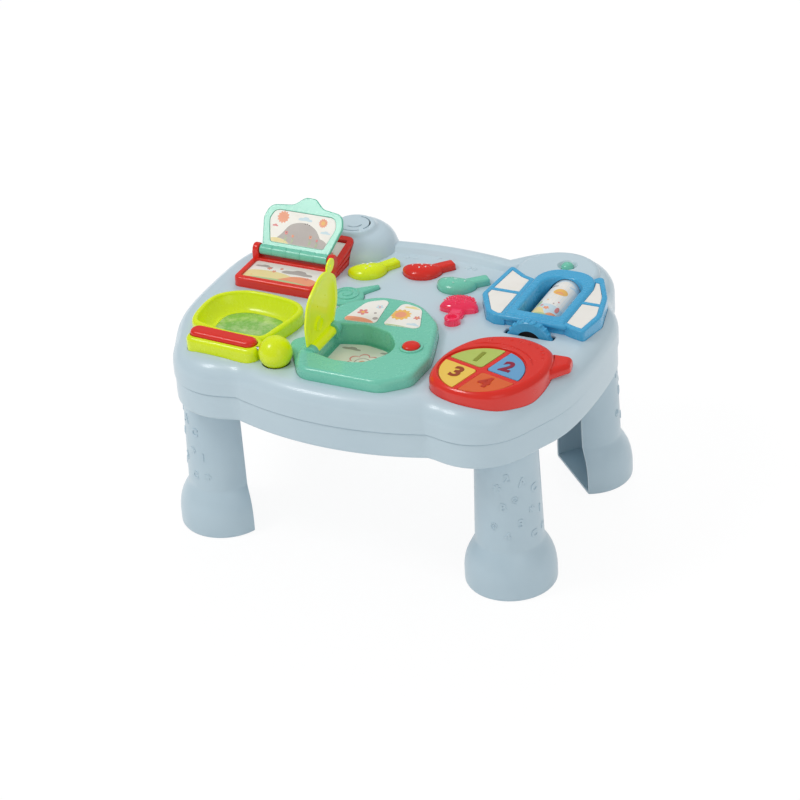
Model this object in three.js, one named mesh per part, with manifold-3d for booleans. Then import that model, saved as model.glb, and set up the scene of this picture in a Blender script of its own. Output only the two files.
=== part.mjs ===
// A baby activity table: a lobed plastic top on four legs, with a book, a basin, a door box, press keys,
// a number keypad and a picture window. Millimetres, +Z up, floor at z = 0, front towards -Y.
import * as THREE from 'three';
import { mergeVertices } from 'three/addons/utils/BufferGeometryUtils.js';
import Module from 'manifold-3d';

const wasm = await Module();
wasm.setup();

// Clearances and steps shared by all pieces
const FIT = 0.3;
const KEY_GAP = 0.5;
const OVERRUN = 2;
const EDGE_STEPS = 2;
const SHOULDER_STEPS = 3;
const INNER_SHOULDER_STEPS = 2;
const MERGE_DISTANCE = 0.05;
const PARALLEL_SHARE = 0.05;
const ARC_STEP = THREE.MathUtils.degToRad(30);

// Table outline, seen from above
const TABLE = {
  width: 480,
  frontReach: 192.5,
  backReach: 164,
  frontArc: 355,
  backArc: 424,
  sideArc: 1000,
  frontLobe: { x: 150, y: 119, radius: 60 },
  backLobe: { x: 134.4, y: 121.5, radius: 71 },
  notchSharpness: 26,
  cornerSharpness: 18,
  outlinePoints: 48,
};

// Table heights and walls
const SHELL = {
  base: 171.5,
  seam: 203,
  top: 240,
  wall: 3,
  seamStep: 1.2,
  baseEdge: 4,
  baseEdgeShare: 0.3,
  bulgeShoulder: 18,
  sideShoulder: 23,
  frontLobeShoulder: 24,
  backShoulder: 20,
  rimRise: 5,
  rimFlat: 7,
  rimSlope: 9,
  lobeAngle: 16,
  lobeBlendAngle: 12,
  rimStartShare: 0.3,
  rimFullShare: 0.62,
};
const ROOF = SHELL.top - SHELL.wall;

// Raised pad round the power button, and the loudspeaker dome
const PAD = { x: 139, y: 130, radius: 49, rise: 9, edge: 8 };
const DOME = {
  x: -112,
  y: 127,
  footRadius: 50,
  beltRadius: 45,
  beltRise: 12,
  shoulderRadius: 36,
  shoulderRise: 21,
  capRadius: 23,
  capRise: 28,
  capEdge: 2,
  slots: [{ radius: 9, turnAngle: -60 }, { radius: 18, turnAngle: -110 }, { radius: 18, turnAngle: 30 }],
  slotWidth: 1.8,
  slotHalfAngle: 62,
};
const SPEAKER = { radius: 21, magnetRadius: 12, coneDepth: 6, magnetDepth: 7, rim: 2.5, coneRadius: 18 };

// Legs: a round stem and a bell foot, cut flat and open on the inner side
const LEG = {
  edgeX: 62.5,
  edgeY: 79,
  stemTopRadius: 34.5,
  stemBottomRadius: 38,
  plugRadius: 28.5,
  plugLength: 22,
  cut: 19.5,
  wall: 3,
  sole: 3,
  footRadius: 51,
  footEdge: 3,
  footWidest: 18,
  footShoulderRadius: 45,
  footShoulder: 41,
  footTop: 54,
  sides: 13,
};

// Screws that hold the shells together, and their columns
const CASE_SCREW = {
  places: [[-150, -166], [150, -166], [-38, 153], [62, 148]],
  headRadius: 3.4,
  headLength: 2.4,
  shankRadius: 1.5,
  shankLength: 26,
  columnRadius: 5.2,
  headDepth: 9,
};

// Battery bay in the bottom shell, with three cells side by side
const BAY = { x: 0, y: -16, ledge: 2.5, roof: 2, doorThickness: 2.5, screwTab: 12 };
const CELL = { count: 3, radius: 7.2, length: 48.5, tipRadius: 2.7, tipLength: 1.5, gap: 0.6 };
const CONTACT = { thickness: 0.8, inset: 1.2 };
const BOARD = {
  x: 36, y: 62, width: 96, depth: 56, thickness: 1.6, height: 197, postRadius: 3, postInset: 6, bossRadius: 4.5,
};

// Book: two trays on one red frame, with a page hinged between them
const BOOK = {
  x: -150,
  y: 48,
  width: 104,
  frontLength: 56,
  backLength: 53,
  skirt: 15,
  frontRise: 12,
  backRise: 25,
  wall: 2.5,
  edge: 3,
  corner: 8,
  trayInset: 7,
  trayDepth: 4,
  cardThickness: 0.9,
  layerCount: 3,
  layerGap: 1.6,
  layerInset: 1.8,
};
const BOOK_HINGE = {
  rise: 20.5, barrelRadius: 6, barrelLength: 86, lugWidth: 8, lugRadius: 7.2, pinRadius: 1.6, clearance: 1.3,
};
const PAGE = {
  openAngle: 45,
  thickness: 4,
  footWidth: 84,
  width: 101,
  height: 68,
  corner: 13,
  cardInset: 0.6,
};

// Basin, the bar in front of it, the long key and the ball
const BASIN = {
  x: -143,
  y: -84,
  width: 116,
  depth: 98,
  rise: 16,
  skirt: 12,
  edge: 4,
  wall: 2.5,
  rimWidth: 7,
  floorRise: -3,
  floorShare: 0.72,
  bowlShare: 0.3,
  lightShare: 0.9,
  windowThickness: 2,
};
const BAR = { y: -141.5, turnAngle: -3, width: 90, depth: 31, rise: 15, edge: 5, corner: 11 };
const LONG_KEY = { barInset: 1.5, y: -141.5, width: 82, depth: 19, rise: 20, edge: 3, travel: 2.5 };
const BALL = {
  doorShare: 0.35, doorGap: 2.9, barGap: 1, y: -146.5, rise: 12, radius: 18.5, clearance: 1.2,
  axleRadius: 2.4, axleBite: 5, axleEnd: 4,
};

// Door box with its well, lid, button and panels
const DOOR = {
  x: 5,
  y: -83,
  width: 166,
  depth: 174,
  rise: 14,
  skirt: 13,
  edge: 5,
  wall: 2.5,
  corner: 20,
  flankRise: 7,
  flankEdge: 4,
};
const WELL = {
  x: -38, y: -102, length: 88, width: 80, depth: 25, corner: 14, cardThickness: 0.9, ribRadius: 1.6,
  ribLengthShare: 0.9, ribWidthShare: 0.2,
};
const LID = {
  openAngle: 84,
  clearance: 1.4,
  thickness: 2.6,
  crown: 4,
  crownShare: 0.504,
  crownStartShare: 0.6,
  dish: 3.5,
  dishShare: 0.86,
  dishStartShare: 0.25,
  tabRiseShare: 0.7,
  pivotInset: 2,
  pivotDrop: 4.5,
  barrelRadius: 5.5,
  barrelLength: 46,
  lugWidth: 9,
  lugRadius: 8,
  pinRadius: 1.6,
  tabX: 77,
  tabY: 25,
  tabRadius: 8.5,
};
const LID_BUTTON = { sideInset: 27, y: -91, radius: 9.6, ringRadius: 13, ringRise: 1.6, rise: 19.5, travel: 2.5 };
const ballX = DOOR.x - DOOR.width * BALL.doorShare - BALL.doorGap - BALL.radius;
const barPlace = { x: ballX - BALL.radius - BALL.barGap - BAR.width / 2, y: BAR.y, turnAngle: BAR.turnAngle };
const longKeyPlace = { x: barPlace.x - LONG_KEY.barInset, y: LONG_KEY.y, turnAngle: BAR.turnAngle };
const buttonPlace = { x: DOOR.x + DOOR.width / 2 - LID_BUTTON.sideInset, y: LID_BUTTON.y };
const PANEL = { depth: 0.8, thickness: 1.1, corner: 7 };

// Press keys that stand in holes of the top shell
const KEY = { flange: 1.8, flangeThickness: 2, stemDepth: 10, travel: 2.5 };
const SNAIL = {
  x: -66, y: 8, radius: 20, rise: 6, ringRadius: 11, ringTube: 1.8, coilRadius: 4.2, tailX: 27, tailY: 33,
  tailRoot: 12, tailTip: 2.6, tailRiseShare: 0.7,
};
const MUSHROOM = {
  width: 45,
  length: 27,
  rise: 12,
  stemWidth: 14,
  stemLength: 40,
  stemRise: 8,
};
const MUSHROOM_PLACES = {
  lime: { x: -66.5, y: 66, turnAngle: 33, leanAngle: -66 },
  red: { x: -8.5, y: 85, turnAngle: 15, leanAngle: -58 },
  mint: { x: 41, y: 67, turnAngle: 5, leanAngle: -53 },
};
const LAMP = {
  x: 64, y: 30, turnAngle: -170, width: 43, length: 30, rise: 12, stemWidth: 17, stemLength: 27, stemRise: 6,
  knobX: 70, knobY: -5, knobRadius: 9, knobRise: 8, knobHole: 5, depth: 8, facetSides: 12,
};
const LED = { tipShare: 0.7, radius: 2.5, length: 8, flangeRadius: 3, flangeLength: 1 };

// Picture window with its shutters, the picture drum and the thumb wheel
const WINDOW = {
  x: 160,
  y: 66,
  width: 72,
  frontY: 11,
  backY: 129,
  rise: 14,
  skirt: 12,
  edge: 4,
  wall: 2.5,
  corner: 3,
  archCorner: 30,
  openingWidth: 49,
  openingFrontY: 25,
  openingBackY: 109,
  openingCorner: 21,
  shutterRise: 12,
  shutterEdge: 3,
  paneFrame: 6,
  muntin: 5,
  paneDepth: 2.2,
  paneThickness: 1.4,
};
const DRUM = { axisDrop: 9.5, radius: 20.2, frontY: 22, backY: 112, axleRadius: 2, sides: 24, clearance: 1 };
const THUMB = {
  y: 0, thickness: 9, radius: 27.5, hubRadius: 15, hubDepth: 2.5, teeth: 16, toothDepth: 1.4, gap: 1.5,
};
const BRACKET = { thickness: 3, width: 16, drop: 7, axleFit: 0.35, endGap: 0.5 };

// Number keypad
const KEYPAD = {
  doorGap: 10,
  y: -96,
  width: 120,
  depth: 129,
  rise: 16,
  skirt: 12,
  edge: 7,
  wall: 2.5,
  dialInset: 6,
  dialY: -110,
  dialRadius: 46,
  dialDepth: 2,
  crossWidth: 6,
  keyCorner: 4,
  arcPoints: 6,
  nubOut: 60,
  nubBack: 42,
  nubRadius: 10.5,
  nubRise: 10,
  floorThickness: 2.5,
  membraneThickness: 2,
  membraneInset: 3,
  keyProud: 0.4,
  keyFlange: 1.6,
  travel: 2,
};
const keypadPlace = { x: DOOR.x + DOOR.width / 2 + KEYPAD.doorGap + KEYPAD.width / 2, y: KEYPAD.y };
const dialPlace = { x: keypadPlace.x - KEYPAD.dialInset, y: KEYPAD.dialY };
const POWER = { x: 145, y: 145, radius: 7, dimpleRadius: 12.3, dimpleDepth: 4, rise: 12, stem: 8, travel: 2 };
const POWER_FACETS = 20;
const BALL_FACETS = 16;

// Colours and finishes, as seen in the photograph
function plastic(colour, roughness = 0.3, opacity = 1) {
  return new THREE.MeshStandardMaterial({ color: colour, roughness, metalness: 0, transparent: opacity < 1, opacity });
}
const LOOK = {
  paleBlue: plastic(0xc3d6e0),
  slateBlue: plastic(0xb4cad6),
  mint: plastic(0x78cdb4),
  lime: plastic(0xcfe320),
  red: plastic(0xe0392f),
  blue: plastic(0x3da2cf),
  card: plastic(0xf4f1ea, 0.5),
  green: plastic(0x7fc45c, 0.15, 0.7),
  lampRed: plastic(0xd81f48, 0.1, 0.75),
  rubber: plastic(0xb9b9b4, 0.8),
  board: plastic(0x2f6b42, 0.6),
  black: plastic(0x22262a, 0.6),
  cell: plastic(0x3a4046, 0.4),
  lemon: plastic(0xf6d767, 0.2, 0.85),
  orange: plastic(0xe9733a, 0.2, 0.85),
  skyBlue: plastic(0x7fb6da, 0.2, 0.85),
  leafGreen: plastic(0xcdd884, 0.2, 0.85),
  steel: new THREE.MeshStandardMaterial({ color: 0xc2c6ca, roughness: 0.3, metalness: 0.9 }),
};

// Turns a closed three.js geometry into a solid, with its faces pointing out
function solid(geometry) {
  const bare = geometry.clone();
  bare.deleteAttribute('normal');
  bare.deleteAttribute('uv');
  const merged = mergeVertices(bare);
  const points = merged.attributes.position.array;
  const corners = merged.index.array;
  const kept = [];
  let volume = 0;
  for (let i = 0; i < corners.length; i += 3) {
    const [a, b, c] = [corners[i], corners[i + 1], corners[i + 2]];
    if (a === b || b === c || c === a) continue;
    kept.push(a, b, c);
    const [p, q, r] = [a, b, c].map((k) => new THREE.Vector3().fromArray(points, k * 3));
    volume += p.dot(q.cross(r));
  }
  if (volume < 0) kept.reverse();
  const mesh = new wasm.Mesh({
    numProp: 3,
    vertProperties: new Float32Array(points),
    triVerts: new Uint32Array(kept),
  });
  return new wasm.Manifold(mesh);
}

// Turns a solid back into a three.js geometry
function geometryOf(body) {
  const mesh = body.getMesh();
  const geometry = new THREE.BufferGeometry();
  geometry.setAttribute('position', new THREE.BufferAttribute(mesh.vertProperties, 3));
  geometry.setIndex(new THREE.BufferAttribute(mesh.triVerts, 1));
  geometry.computeVertexNormals();
  return geometry;
}

const table = new THREE.Group();

function addPart(group, name, body, look) {
  const mesh = new THREE.Mesh(geometryOf(body), look);
  mesh.name = name;
  group.add(mesh);
  return mesh;
}

function addGroup(place) {
  const group = new THREE.Group();
  group.position.set(place.x, place.y, 0);
  group.rotation.z = THREE.MathUtils.degToRad(place.turnAngle ?? 0);
  table.add(group);
  return group;
}

// Moves a solid from a group's own frame into the table's frame
function inTable(body, place) {
  return body.rotate([0, 0, place.turnAngle ?? 0]).translate([place.x, place.y, 0]);
}

function together(bodies) {
  return bodies.reduce((sum, body) => sum.add(body));
}

// Moves each outline point inwards along its normal; inset is one value or one for each point.
// Where an inset is larger than a corner's radius, the points of that corner meet in one point.
function insetOutline(outline, inset) {
  const count = outline.length;
  const at = (points, i) => points[(i + count) % count];
  const moved = outline.map((point, i) => {
    const incoming = point.clone().sub(at(outline, i - 1)).normalize();
    const outgoing = at(outline, i + 1).clone().sub(point).normalize();
    const bisector = incoming.clone().add(outgoing).normalize();
    const inward = new THREE.Vector2(-bisector.y, bisector.x);
    const amount = Array.isArray(inset) ? inset[i] : inset;
    return point.clone().addScaledVector(inward, amount / Math.max(bisector.dot(outgoing), 0.5));
  });
  const keeps = moved.map((point, i) => {
    const before = at(outline, i + 1).clone().sub(outline[i]);
    return at(moved, i + 1).clone().sub(point).dot(before) > 0;
  });
  for (let i = 0; i < count; i += 1) {
    if (!keeps[i] || at(keeps, i + 1)) continue;
    let last = i + 1;
    while (!at(keeps, last) && last < i + count) last += 1;
    const meeting = crossing(moved[i], at(moved, i + 1), at(moved, last), at(moved, last + 1));
    for (let k = i + 1; k <= last; k += 1) at(moved, k).copy(meeting);
  }
  return moved;
}

// Where the line through a and b meets the line through c and d
function crossing(a, b, c, d) {
  const along = b.clone().sub(a);
  const across = d.clone().sub(c);
  const turn = along.cross(across);
  if (Math.abs(turn) < along.length() * across.length() * PARALLEL_SHARE) return b.clone().add(c).multiplyScalar(0.5);
  return a.clone().addScaledVector(along, c.clone().sub(a).cross(across) / turn);
}

// A closed solid through rings of equal count, from the lowest to the highest
function loft(rings) {
  const count = rings[0].length;
  const positions = rings.flat().flatMap((p) => [p.x, p.y, p.z]);
  const index = [];
  for (let level = 0; level < rings.length - 1; level += 1) {
    for (let i = 0; i < count; i += 1) {
      const a = level * count + i;
      const b = level * count + ((i + 1) % count);
      index.push(a, b, b + count, a, b + count, a + count);
    }
  }
  const flat = (ring) => ring.map((p) => new THREE.Vector2(p.x, p.y));
  for (const [a, b, c] of THREE.ShapeUtils.triangulateShape(flat(rings[0]), [])) {
    index.push(c, b, a);
  }
  const last = (rings.length - 1) * count;
  for (const [a, b, c] of THREE.ShapeUtils.triangulateShape(flat(rings[rings.length - 1]), [])) {
    index.push(last + a, last + b, last + c);
  }
  const geometry = new THREE.BufferGeometry();
  geometry.setAttribute('position', new THREE.Float32BufferAttribute(positions, 3));
  geometry.setIndex(index);
  return solid(geometry);
}

function ringAt(outline, z) {
  return outline.map((p) => new THREE.Vector3(p.x, p.y, z));
}

// A solid whose outline moves inwards level by level: levels are [inset, z] pairs
function slab(outline, levels) {
  return loft(levels.map(([inset, z]) => ringAt(insetOutline(outline, inset), z)));
}

function prism(outline, bottom, top) {
  return loft([ringAt(outline, bottom), ringAt(outline, top)]);
}

// A prism with a rounded top edge
function rounded(outline, bottom, top, edge) {
  const levels = [[0, bottom]];
  for (let step = 0; step <= EDGE_STEPS; step += 1) {
    const angle = (step / EDGE_STEPS) * (Math.PI / 2);
    levels.push([edge * (1 - Math.cos(angle)), top - edge * (1 - Math.sin(angle))]);
  }
  return slab(outline, levels);
}

// A moulded cover: a rounded prism, hollow and open underneath
function cover(outline, bottom, top, edge, wall) {
  const inside = rounded(insetOutline(outline, wall), bottom - OVERRUN, top - wall, Math.max(edge - wall, wall / 2));
  return rounded(outline, bottom, top, edge).subtract(inside);
}

// A domed solid: rings shrink towards the outline's middle by an elliptical crown
function domed(outline, bottom, shoulder, top, steps = 3) {
  const middle = outline.reduce((sum, p) => sum.add(p), new THREE.Vector2()).divideScalar(outline.length);
  const scaled = (share) => outline.map((p) => p.clone().sub(middle).multiplyScalar(share).add(middle));
  const rings = [ringAt(outline, bottom)];
  for (let step = 0; step < steps; step += 1) {
    const angle = (step / steps) * (Math.PI / 2);
    rings.push(ringAt(scaled(Math.cos(angle)), shoulder + (top - shoulder) * Math.sin(angle)));
  }
  rings.push(ringAt(scaled(Math.cos(Math.PI / 2.3)), top));
  return loft(rings);
}

// Outlines
function circle(radius, x = 0, y = 0, sides = 14) {
  return Array.from({ length: sides }, (_, i) => {
    const angle = (i / sides) * Math.PI * 2;
    return new THREE.Vector2(x + radius * Math.cos(angle), y + radius * Math.sin(angle));
  });
}

// Rounds the corners of a polygon with arcs; corners are [x, y, radius], anticlockwise
function fillet(corners) {
  const count = corners.length;
  const points = [];
  corners.forEach(([x, y, wanted], i) => {
    const corner = new THREE.Vector2(x, y);
    const before = new THREE.Vector2(...corners[(i + count - 1) % count].slice(0, 2)).sub(corner);
    const after = new THREE.Vector2(...corners[(i + 1) % count].slice(0, 2)).sub(corner);
    const room = Math.min(before.length(), after.length()) / 2;
    const [back, ahead] = [before.normalize(), after.normalize()];
    const half = Math.acos(THREE.MathUtils.clamp(back.dot(ahead), -1, 1)) / 2;
    const radius = Math.min(wanted, room * Math.tan(half));
    const bend = Math.PI - half * 2;
    if (radius < MERGE_DISTANCE || bend < ARC_STEP / 2) {
      points.push(corner);
      return;
    }
    const middle = corner.clone().addScaledVector(back.clone().add(ahead).normalize(), radius / Math.sin(half));
    const start = corner.clone().addScaledVector(back, radius / Math.tan(half)).sub(middle);
    const turn = Math.sign(ahead.cross(back));
    const steps = Math.max(1, Math.round(bend / ARC_STEP));
    for (let k = 0; k <= steps; k += 1) {
      points.push(start.clone().rotateAround(new THREE.Vector2(), (turn * bend * k) / steps).add(middle));
    }
  });
  return points.filter((point, i) => point.distanceTo(points[(i + 1) % points.length]) > MERGE_DISTANCE);
}

// Corners from shares of a width and a depth, and of one corner radius
function cornersOf(shares, width, depth, corner) {
  return shares.map(([x, y, radius]) => [x * width, y * depth, radius * corner]);
}

// A smooth closed curve through points given as shares of a width and a depth
function smooth(shares, width, depth, count) {
  const points = shares.map(([x, y]) => new THREE.Vector3(x * width, y * depth, 0));
  const curve = new THREE.CatmullRomCurve3(points, true, 'centripetal');
  return curve.getSpacedPoints(count).slice(0, count).map((p) => new THREE.Vector2(p.x, p.y));
}

function rectangle(x0, x1, y0, y1, corner = 0) {
  return fillet([[x0, y0, corner], [x1, y0, corner], [x1, y1, corner], [x0, y1, corner]]);
}

// Round bars: along Z from one height to another, or along X or Y
function rod(radius, bottom, top, sides = 14) {
  return prism(circle(radius, 0, 0, sides), bottom, top);
}

function rodX(radius, from, to, y, z, sides = 14) {
  return rod(radius, from, to, sides).rotate([0, 90, 0]).translate([0, y, z]);
}

function rodY(radius, from, to, x, z, sides = 14) {
  return rod(radius, from, to, sides).rotate([-90, 0, 0]).translate([x, 0, z]);
}

// A revolved solid from [radius, height] pairs that start and end on the axis
function revolve(profile, sides = 32) {
  const points = profile.map(([radius, height]) => new THREE.Vector2(radius, height));
  return solid(new THREE.LatheGeometry(points, sides)).rotate([90, 0, 0]);
}

// Table outline: four arcs, each corner blended with a lobe
function arcReach(c, s, x, y, radius) {
  const along = c * x + s * y;
  const inside = along * along - (x * x + y * y) + radius * radius;
  return inside > 0 ? along + Math.sqrt(inside) : 0;
}

// The lower of two reaches where sharpness is negative, the higher where it is positive, with a soft change
function blend(a, b, sharpness) {
  return (a ** sharpness + b ** sharpness) ** (1 / sharpness);
}

function tableOutline() {
  const halfWidth = TABLE.width / 2;
  return Array.from({ length: TABLE.outlinePoints }, (_, i) => {
    const angle = (i / TABLE.outlinePoints) * Math.PI * 2;
    const c = Math.abs(Math.cos(angle));
    const s = Math.abs(Math.sin(angle));
    const front = Math.sin(angle) < 0;
    const reach = front ? TABLE.frontReach : TABLE.backReach;
    const arc = front ? TABLE.frontArc : TABLE.backArc;
    const lobe = front ? TABLE.frontLobe : TABLE.backLobe;
    const side = arcReach(c, s, halfWidth - TABLE.sideArc, 0, TABLE.sideArc);
    const end = arcReach(c, s, 0, reach - arc, arc);
    const body = blend(side, end, -TABLE.cornerSharpness);
    const radius = blend(body, arcReach(c, s, lobe.x, lobe.y, lobe.radius), TABLE.notchSharpness);
    return new THREE.Vector2(radius * Math.cos(angle), radius * Math.sin(angle));
  });
}
const OUTLINE = tableOutline();

// How much a point of the outline belongs to the raised back rim, and to a lobe
function rimShare(point) {
  return THREE.MathUtils.smoothstep(point.y / point.length(), SHELL.rimStartShare, SHELL.rimFullShare);
}

function lobeShare(point) {
  const lobe = point.y < 0 ? TABLE.frontLobe : TABLE.backLobe;
  const angle = Math.atan2(Math.abs(point.y), Math.abs(point.x)) - Math.atan2(lobe.y, lobe.x);
  const away = THREE.MathUtils.radToDeg(Math.abs(angle));
  return 1 - THREE.MathUtils.smoothstep(away, SHELL.lobeAngle, SHELL.lobeAngle + SHELL.lobeBlendAngle);
}

function shoulderRadius(point) {
  const edge = Math.abs(point.y) / point.length();
  if (point.y > 0) return THREE.MathUtils.lerp(SHELL.sideShoulder, SHELL.backShoulder, edge);
  const straight = THREE.MathUtils.lerp(SHELL.sideShoulder, SHELL.bulgeShoulder, edge);
  return THREE.MathUtils.lerp(straight, SHELL.frontLobeShoulder, lobeShare(point));
}

// Rings from a lower edge up over the shoulder, to a crown height given for each outline point
function shoulderRings(offset, bottom, crowns, steps) {
  const shoulders = OUTLINE.map(shoulderRadius);
  const rings = [ringAt(insetOutline(OUTLINE, offset), bottom)];
  for (let step = 0; step <= steps; step += 1) {
    const angle = (step / steps) * (Math.PI / 2);
    const insets = shoulders.map((r) => offset + (r - offset) * (1 - Math.cos(angle)));
    rings.push(insetOutline(OUTLINE, insets).map((p, i) => {
      const drop = (shoulders[i] - offset) * (1 - Math.sin(angle));
      return new THREE.Vector3(p.x, p.y, crowns[i] - drop);
    }));
  }
  return rings;
}

// The form of the table top, drawn in by an offset for the inside of the shell
function topForm(offset, bottom, steps) {
  const shoulders = OUTLINE.map(shoulderRadius);
  const crowns = OUTLINE.map((p) => SHELL.top + SHELL.rimRise * rimShare(p) - offset);
  const rings = shoulderRings(offset, bottom, crowns, steps);
  const flatEdge = insetOutline(OUTLINE, shoulders.map((r) => r + SHELL.rimFlat));
  rings.push(flatEdge.map((p, i) => new THREE.Vector3(p.x, p.y, crowns[i])));
  const panel = insetOutline(OUTLINE, shoulders.map((r) => r + SHELL.rimFlat + SHELL.rimSlope));
  rings.push(ringAt(panel, SHELL.top - offset));
  const padTop = SHELL.top + PAD.rise - offset;
  const pad = rounded(circle(PAD.radius - offset, PAD.x, PAD.y, 20), SHELL.top - PAD.rise, padTop, PAD.edge);
  const limit = loft(shoulderRings(offset, SHELL.seam, OUTLINE.map(() => padTop), 2));
  return loft(rings).add(pad.intersect(limit)).add(domeForm(offset).translate([DOME.x, DOME.y, 0]));
}

function domeForm(offset) {
  const base = SHELL.top - SHELL.wall - OVERRUN;
  const profile = [
    [0, base],
    [DOME.footRadius - offset, base],
    [DOME.footRadius - offset, SHELL.top],
    [DOME.beltRadius - offset, SHELL.top + DOME.beltRise],
    [DOME.shoulderRadius - offset, SHELL.top + DOME.shoulderRise - offset / 2],
    [DOME.capRadius + DOME.capEdge - offset, SHELL.top + DOME.capRise - DOME.capEdge - offset],
    [DOME.capRadius - offset, SHELL.top + DOME.capRise - offset],
    [0, SHELL.top + DOME.capRise - offset],
  ];
  return revolve(profile, 24);
}

// One curved sound slot, cut right through the dome's cap
function soundSlot({ radius, turnAngle }) {
  const half = THREE.MathUtils.degToRad(DOME.slotHalfAngle);
  const shape = new THREE.Shape();
  shape.absarc(0, 0, radius + DOME.slotWidth / 2, -half, half, false);
  shape.absarc(0, 0, radius - DOME.slotWidth / 2, half, -half, true);
  const top = SHELL.top + DOME.capRise + OVERRUN;
  const depth = SHELL.wall + OVERRUN * 2;
  const geometry = new THREE.ExtrudeGeometry(shape, { depth, bevelEnabled: false, curveSegments: 4 });
  return solid(geometry).rotate([0, 0, turnAngle]).translate([DOME.x, DOME.y, top - depth]);
}

// Outlines of the modules on the table, as shares of their own width and depth
const DOOR_SHARES = [
  [-0.265, -0.5, 1.1], [0.33, -0.5, 1.3], [0.49, -0.36, 1], [0.5, -0.1, 0.9], [0.455, 0.05, 0.8],
  [0.37, 0.3, 2], [0.14, 0.5, 2.4], [-0.15, 0.5, 2], [-0.37, 0.34, 1.6],
  [-0.38, 0.04, 1], [-0.35, -0.3, 1],
];
const FLANK_SHARES = [
  [-0.25, -0.5, 1], [-0.1, -0.42, 0.4], [-0.22, -0.02, 0.4], [-0.4, -0.04, 0.4], [-0.5, -0.14, 0.6],
];
const PAGE_SHARES = [
  [0.5, 0.556, 1], [0.46, 0.794, 1], [0.2, 0.846, 1], [0.08, 1, 0.6], [-0.05, 1, 0.6], [-0.17, 0.846, 1],
  [-0.46, 0.794, 1], [-0.5, 0.556, 1],
];
const PAGE_WINDOW_SHARES = [
  [-0.337, 0.147, 0.3], [0.337, 0.147, 0.3], [0.421, 0.543, 1], [0.379, 0.724, 1], [-0.379, 0.724, 1],
  [-0.421, 0.543, 1],
];
const WELL_SHARES = [
  [0, -0.4, 0.5], [0.36, -0.5, 2.2], [0.72, -0.46, 2], [1, 0.02, 2.6], [0.72, 0.42, 1.8], [0.36, 0.5, 2.2],
  [0, 0.4, 0.5],
];
const LEFT_PANEL_SHARES = [[-0.253, 0.126, 1], [-0.018, 0.149, 1], [-0.06, 0.471, 1], [-0.199, 0.385, 1]];
const RIGHT_PANEL_SHARES = [[0.03, 0.155, 1], [0.289, 0.178, 1], [0.193, 0.42, 1], [0.036, 0.454, 1]];
const BASIN_SHARES = [
  [-0.49, -0.1], [-0.42, -0.36], [-0.2, -0.46], [0.12, -0.5], [0.38, -0.46], [0.45, -0.2], [0.5, 0.24],
  [0.4, 0.41], [0.1, 0.5], [-0.24, 0.48], [-0.46, 0.28],
];
const KEYPAD_SHARES = [
  [-0.5, -0.14], [-0.42, -0.38], [-0.12, -0.5], [0.22, -0.46], [0.44, -0.2], [0.5, 0.12], [0.4, 0.38],
  [0.06, 0.5], [-0.28, 0.4], [-0.46, 0.14],
];
const LEFT_SHUTTER_SHARES = [
  [-1.069, -0.161, 1], [-0.806, -0.415, 1], [-0.486, -0.331, 1], [-0.486, 0.271, 1], [-0.667, 0.314, 1],
  [-1, 0.466, 1],
];
const RIGHT_SHUTTER_SHARES = [
  [0.472, -0.398, 1], [0.778, -0.466, 1], [0.861, -0.136, 1], [0.792, 0.153, 1], [0.403, 0.551, 1], [0.361, 0.356, 1],
  [0.472, 0.254, 1],
];
const MUSHROOM_CAP_SHARES = [
  [-0.5, 0.28], [-0.44, -0.1], [-0.24, -0.42], [0, -0.5], [0.24, -0.42], [0.44, -0.1], [0.5, 0.28], [0.3, 0.46],
  [0, 0.5], [-0.3, 0.46],
];

const doorOutline = fillet(cornersOf(DOOR_SHARES, DOOR.width, DOOR.depth, DOOR.corner));
const flankOutline = fillet(cornersOf(FLANK_SHARES, DOOR.width, DOOR.depth, DOOR.corner));
const wellOutline = fillet(cornersOf(WELL_SHARES, WELL.length, WELL.width, WELL.corner));
const basinOutline = smooth(BASIN_SHARES, BASIN.width, BASIN.depth, 24);
const keypadOutline = smooth(KEYPAD_SHARES, KEYPAD.width, KEYPAD.depth, 28);
const capOutline = smooth(MUSHROOM_CAP_SHARES, MUSHROOM.width, MUSHROOM.length, 14);
const lampOutline = smooth(MUSHROOM_CAP_SHARES, LAMP.width, LAMP.length, LAMP.facetSides);
const barOutline = rectangle(-BAR.width / 2, BAR.width / 2, -BAR.depth / 2, BAR.depth / 2, BAR.corner);
const longKeyOutline = rectangle(
  -LONG_KEY.width / 2, LONG_KEY.width / 2, -LONG_KEY.depth / 2, LONG_KEY.depth / 2, LONG_KEY.depth / 2,
);
const mushroomStemOutline = rectangle(
  -MUSHROOM.stemWidth / 2, MUSHROOM.stemWidth / 2, 0, MUSHROOM.stemLength, MUSHROOM.stemWidth / 4,
);
const lampStemOutline = rectangle(-LAMP.stemWidth / 2, LAMP.stemWidth / 2, 0, LAMP.stemLength, LAMP.stemWidth / 4);
const windowOutline = fillet([
  [-WINDOW.width / 2, WINDOW.frontY - WINDOW.y, WINDOW.corner],
  [WINDOW.width / 2, WINDOW.frontY - WINDOW.y, WINDOW.corner],
  [WINDOW.width / 2, WINDOW.backY - WINDOW.y, WINDOW.archCorner],
  [-WINDOW.width / 2, WINDOW.backY - WINDOW.y, WINDOW.archCorner],
]);
const openingOutline = fillet([
  [-WINDOW.openingWidth / 2, WINDOW.openingFrontY - WINDOW.y, WINDOW.corner],
  [WINDOW.openingWidth / 2, WINDOW.openingFrontY - WINDOW.y, WINDOW.corner],
  [WINDOW.openingWidth / 2, WINDOW.openingBackY - WINDOW.y, WINDOW.openingCorner],
  [-WINDOW.openingWidth / 2, WINDOW.openingBackY - WINDOW.y, WINDOW.openingCorner],
]);
const windowDepth = WINDOW.backY - WINDOW.frontY;
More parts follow.
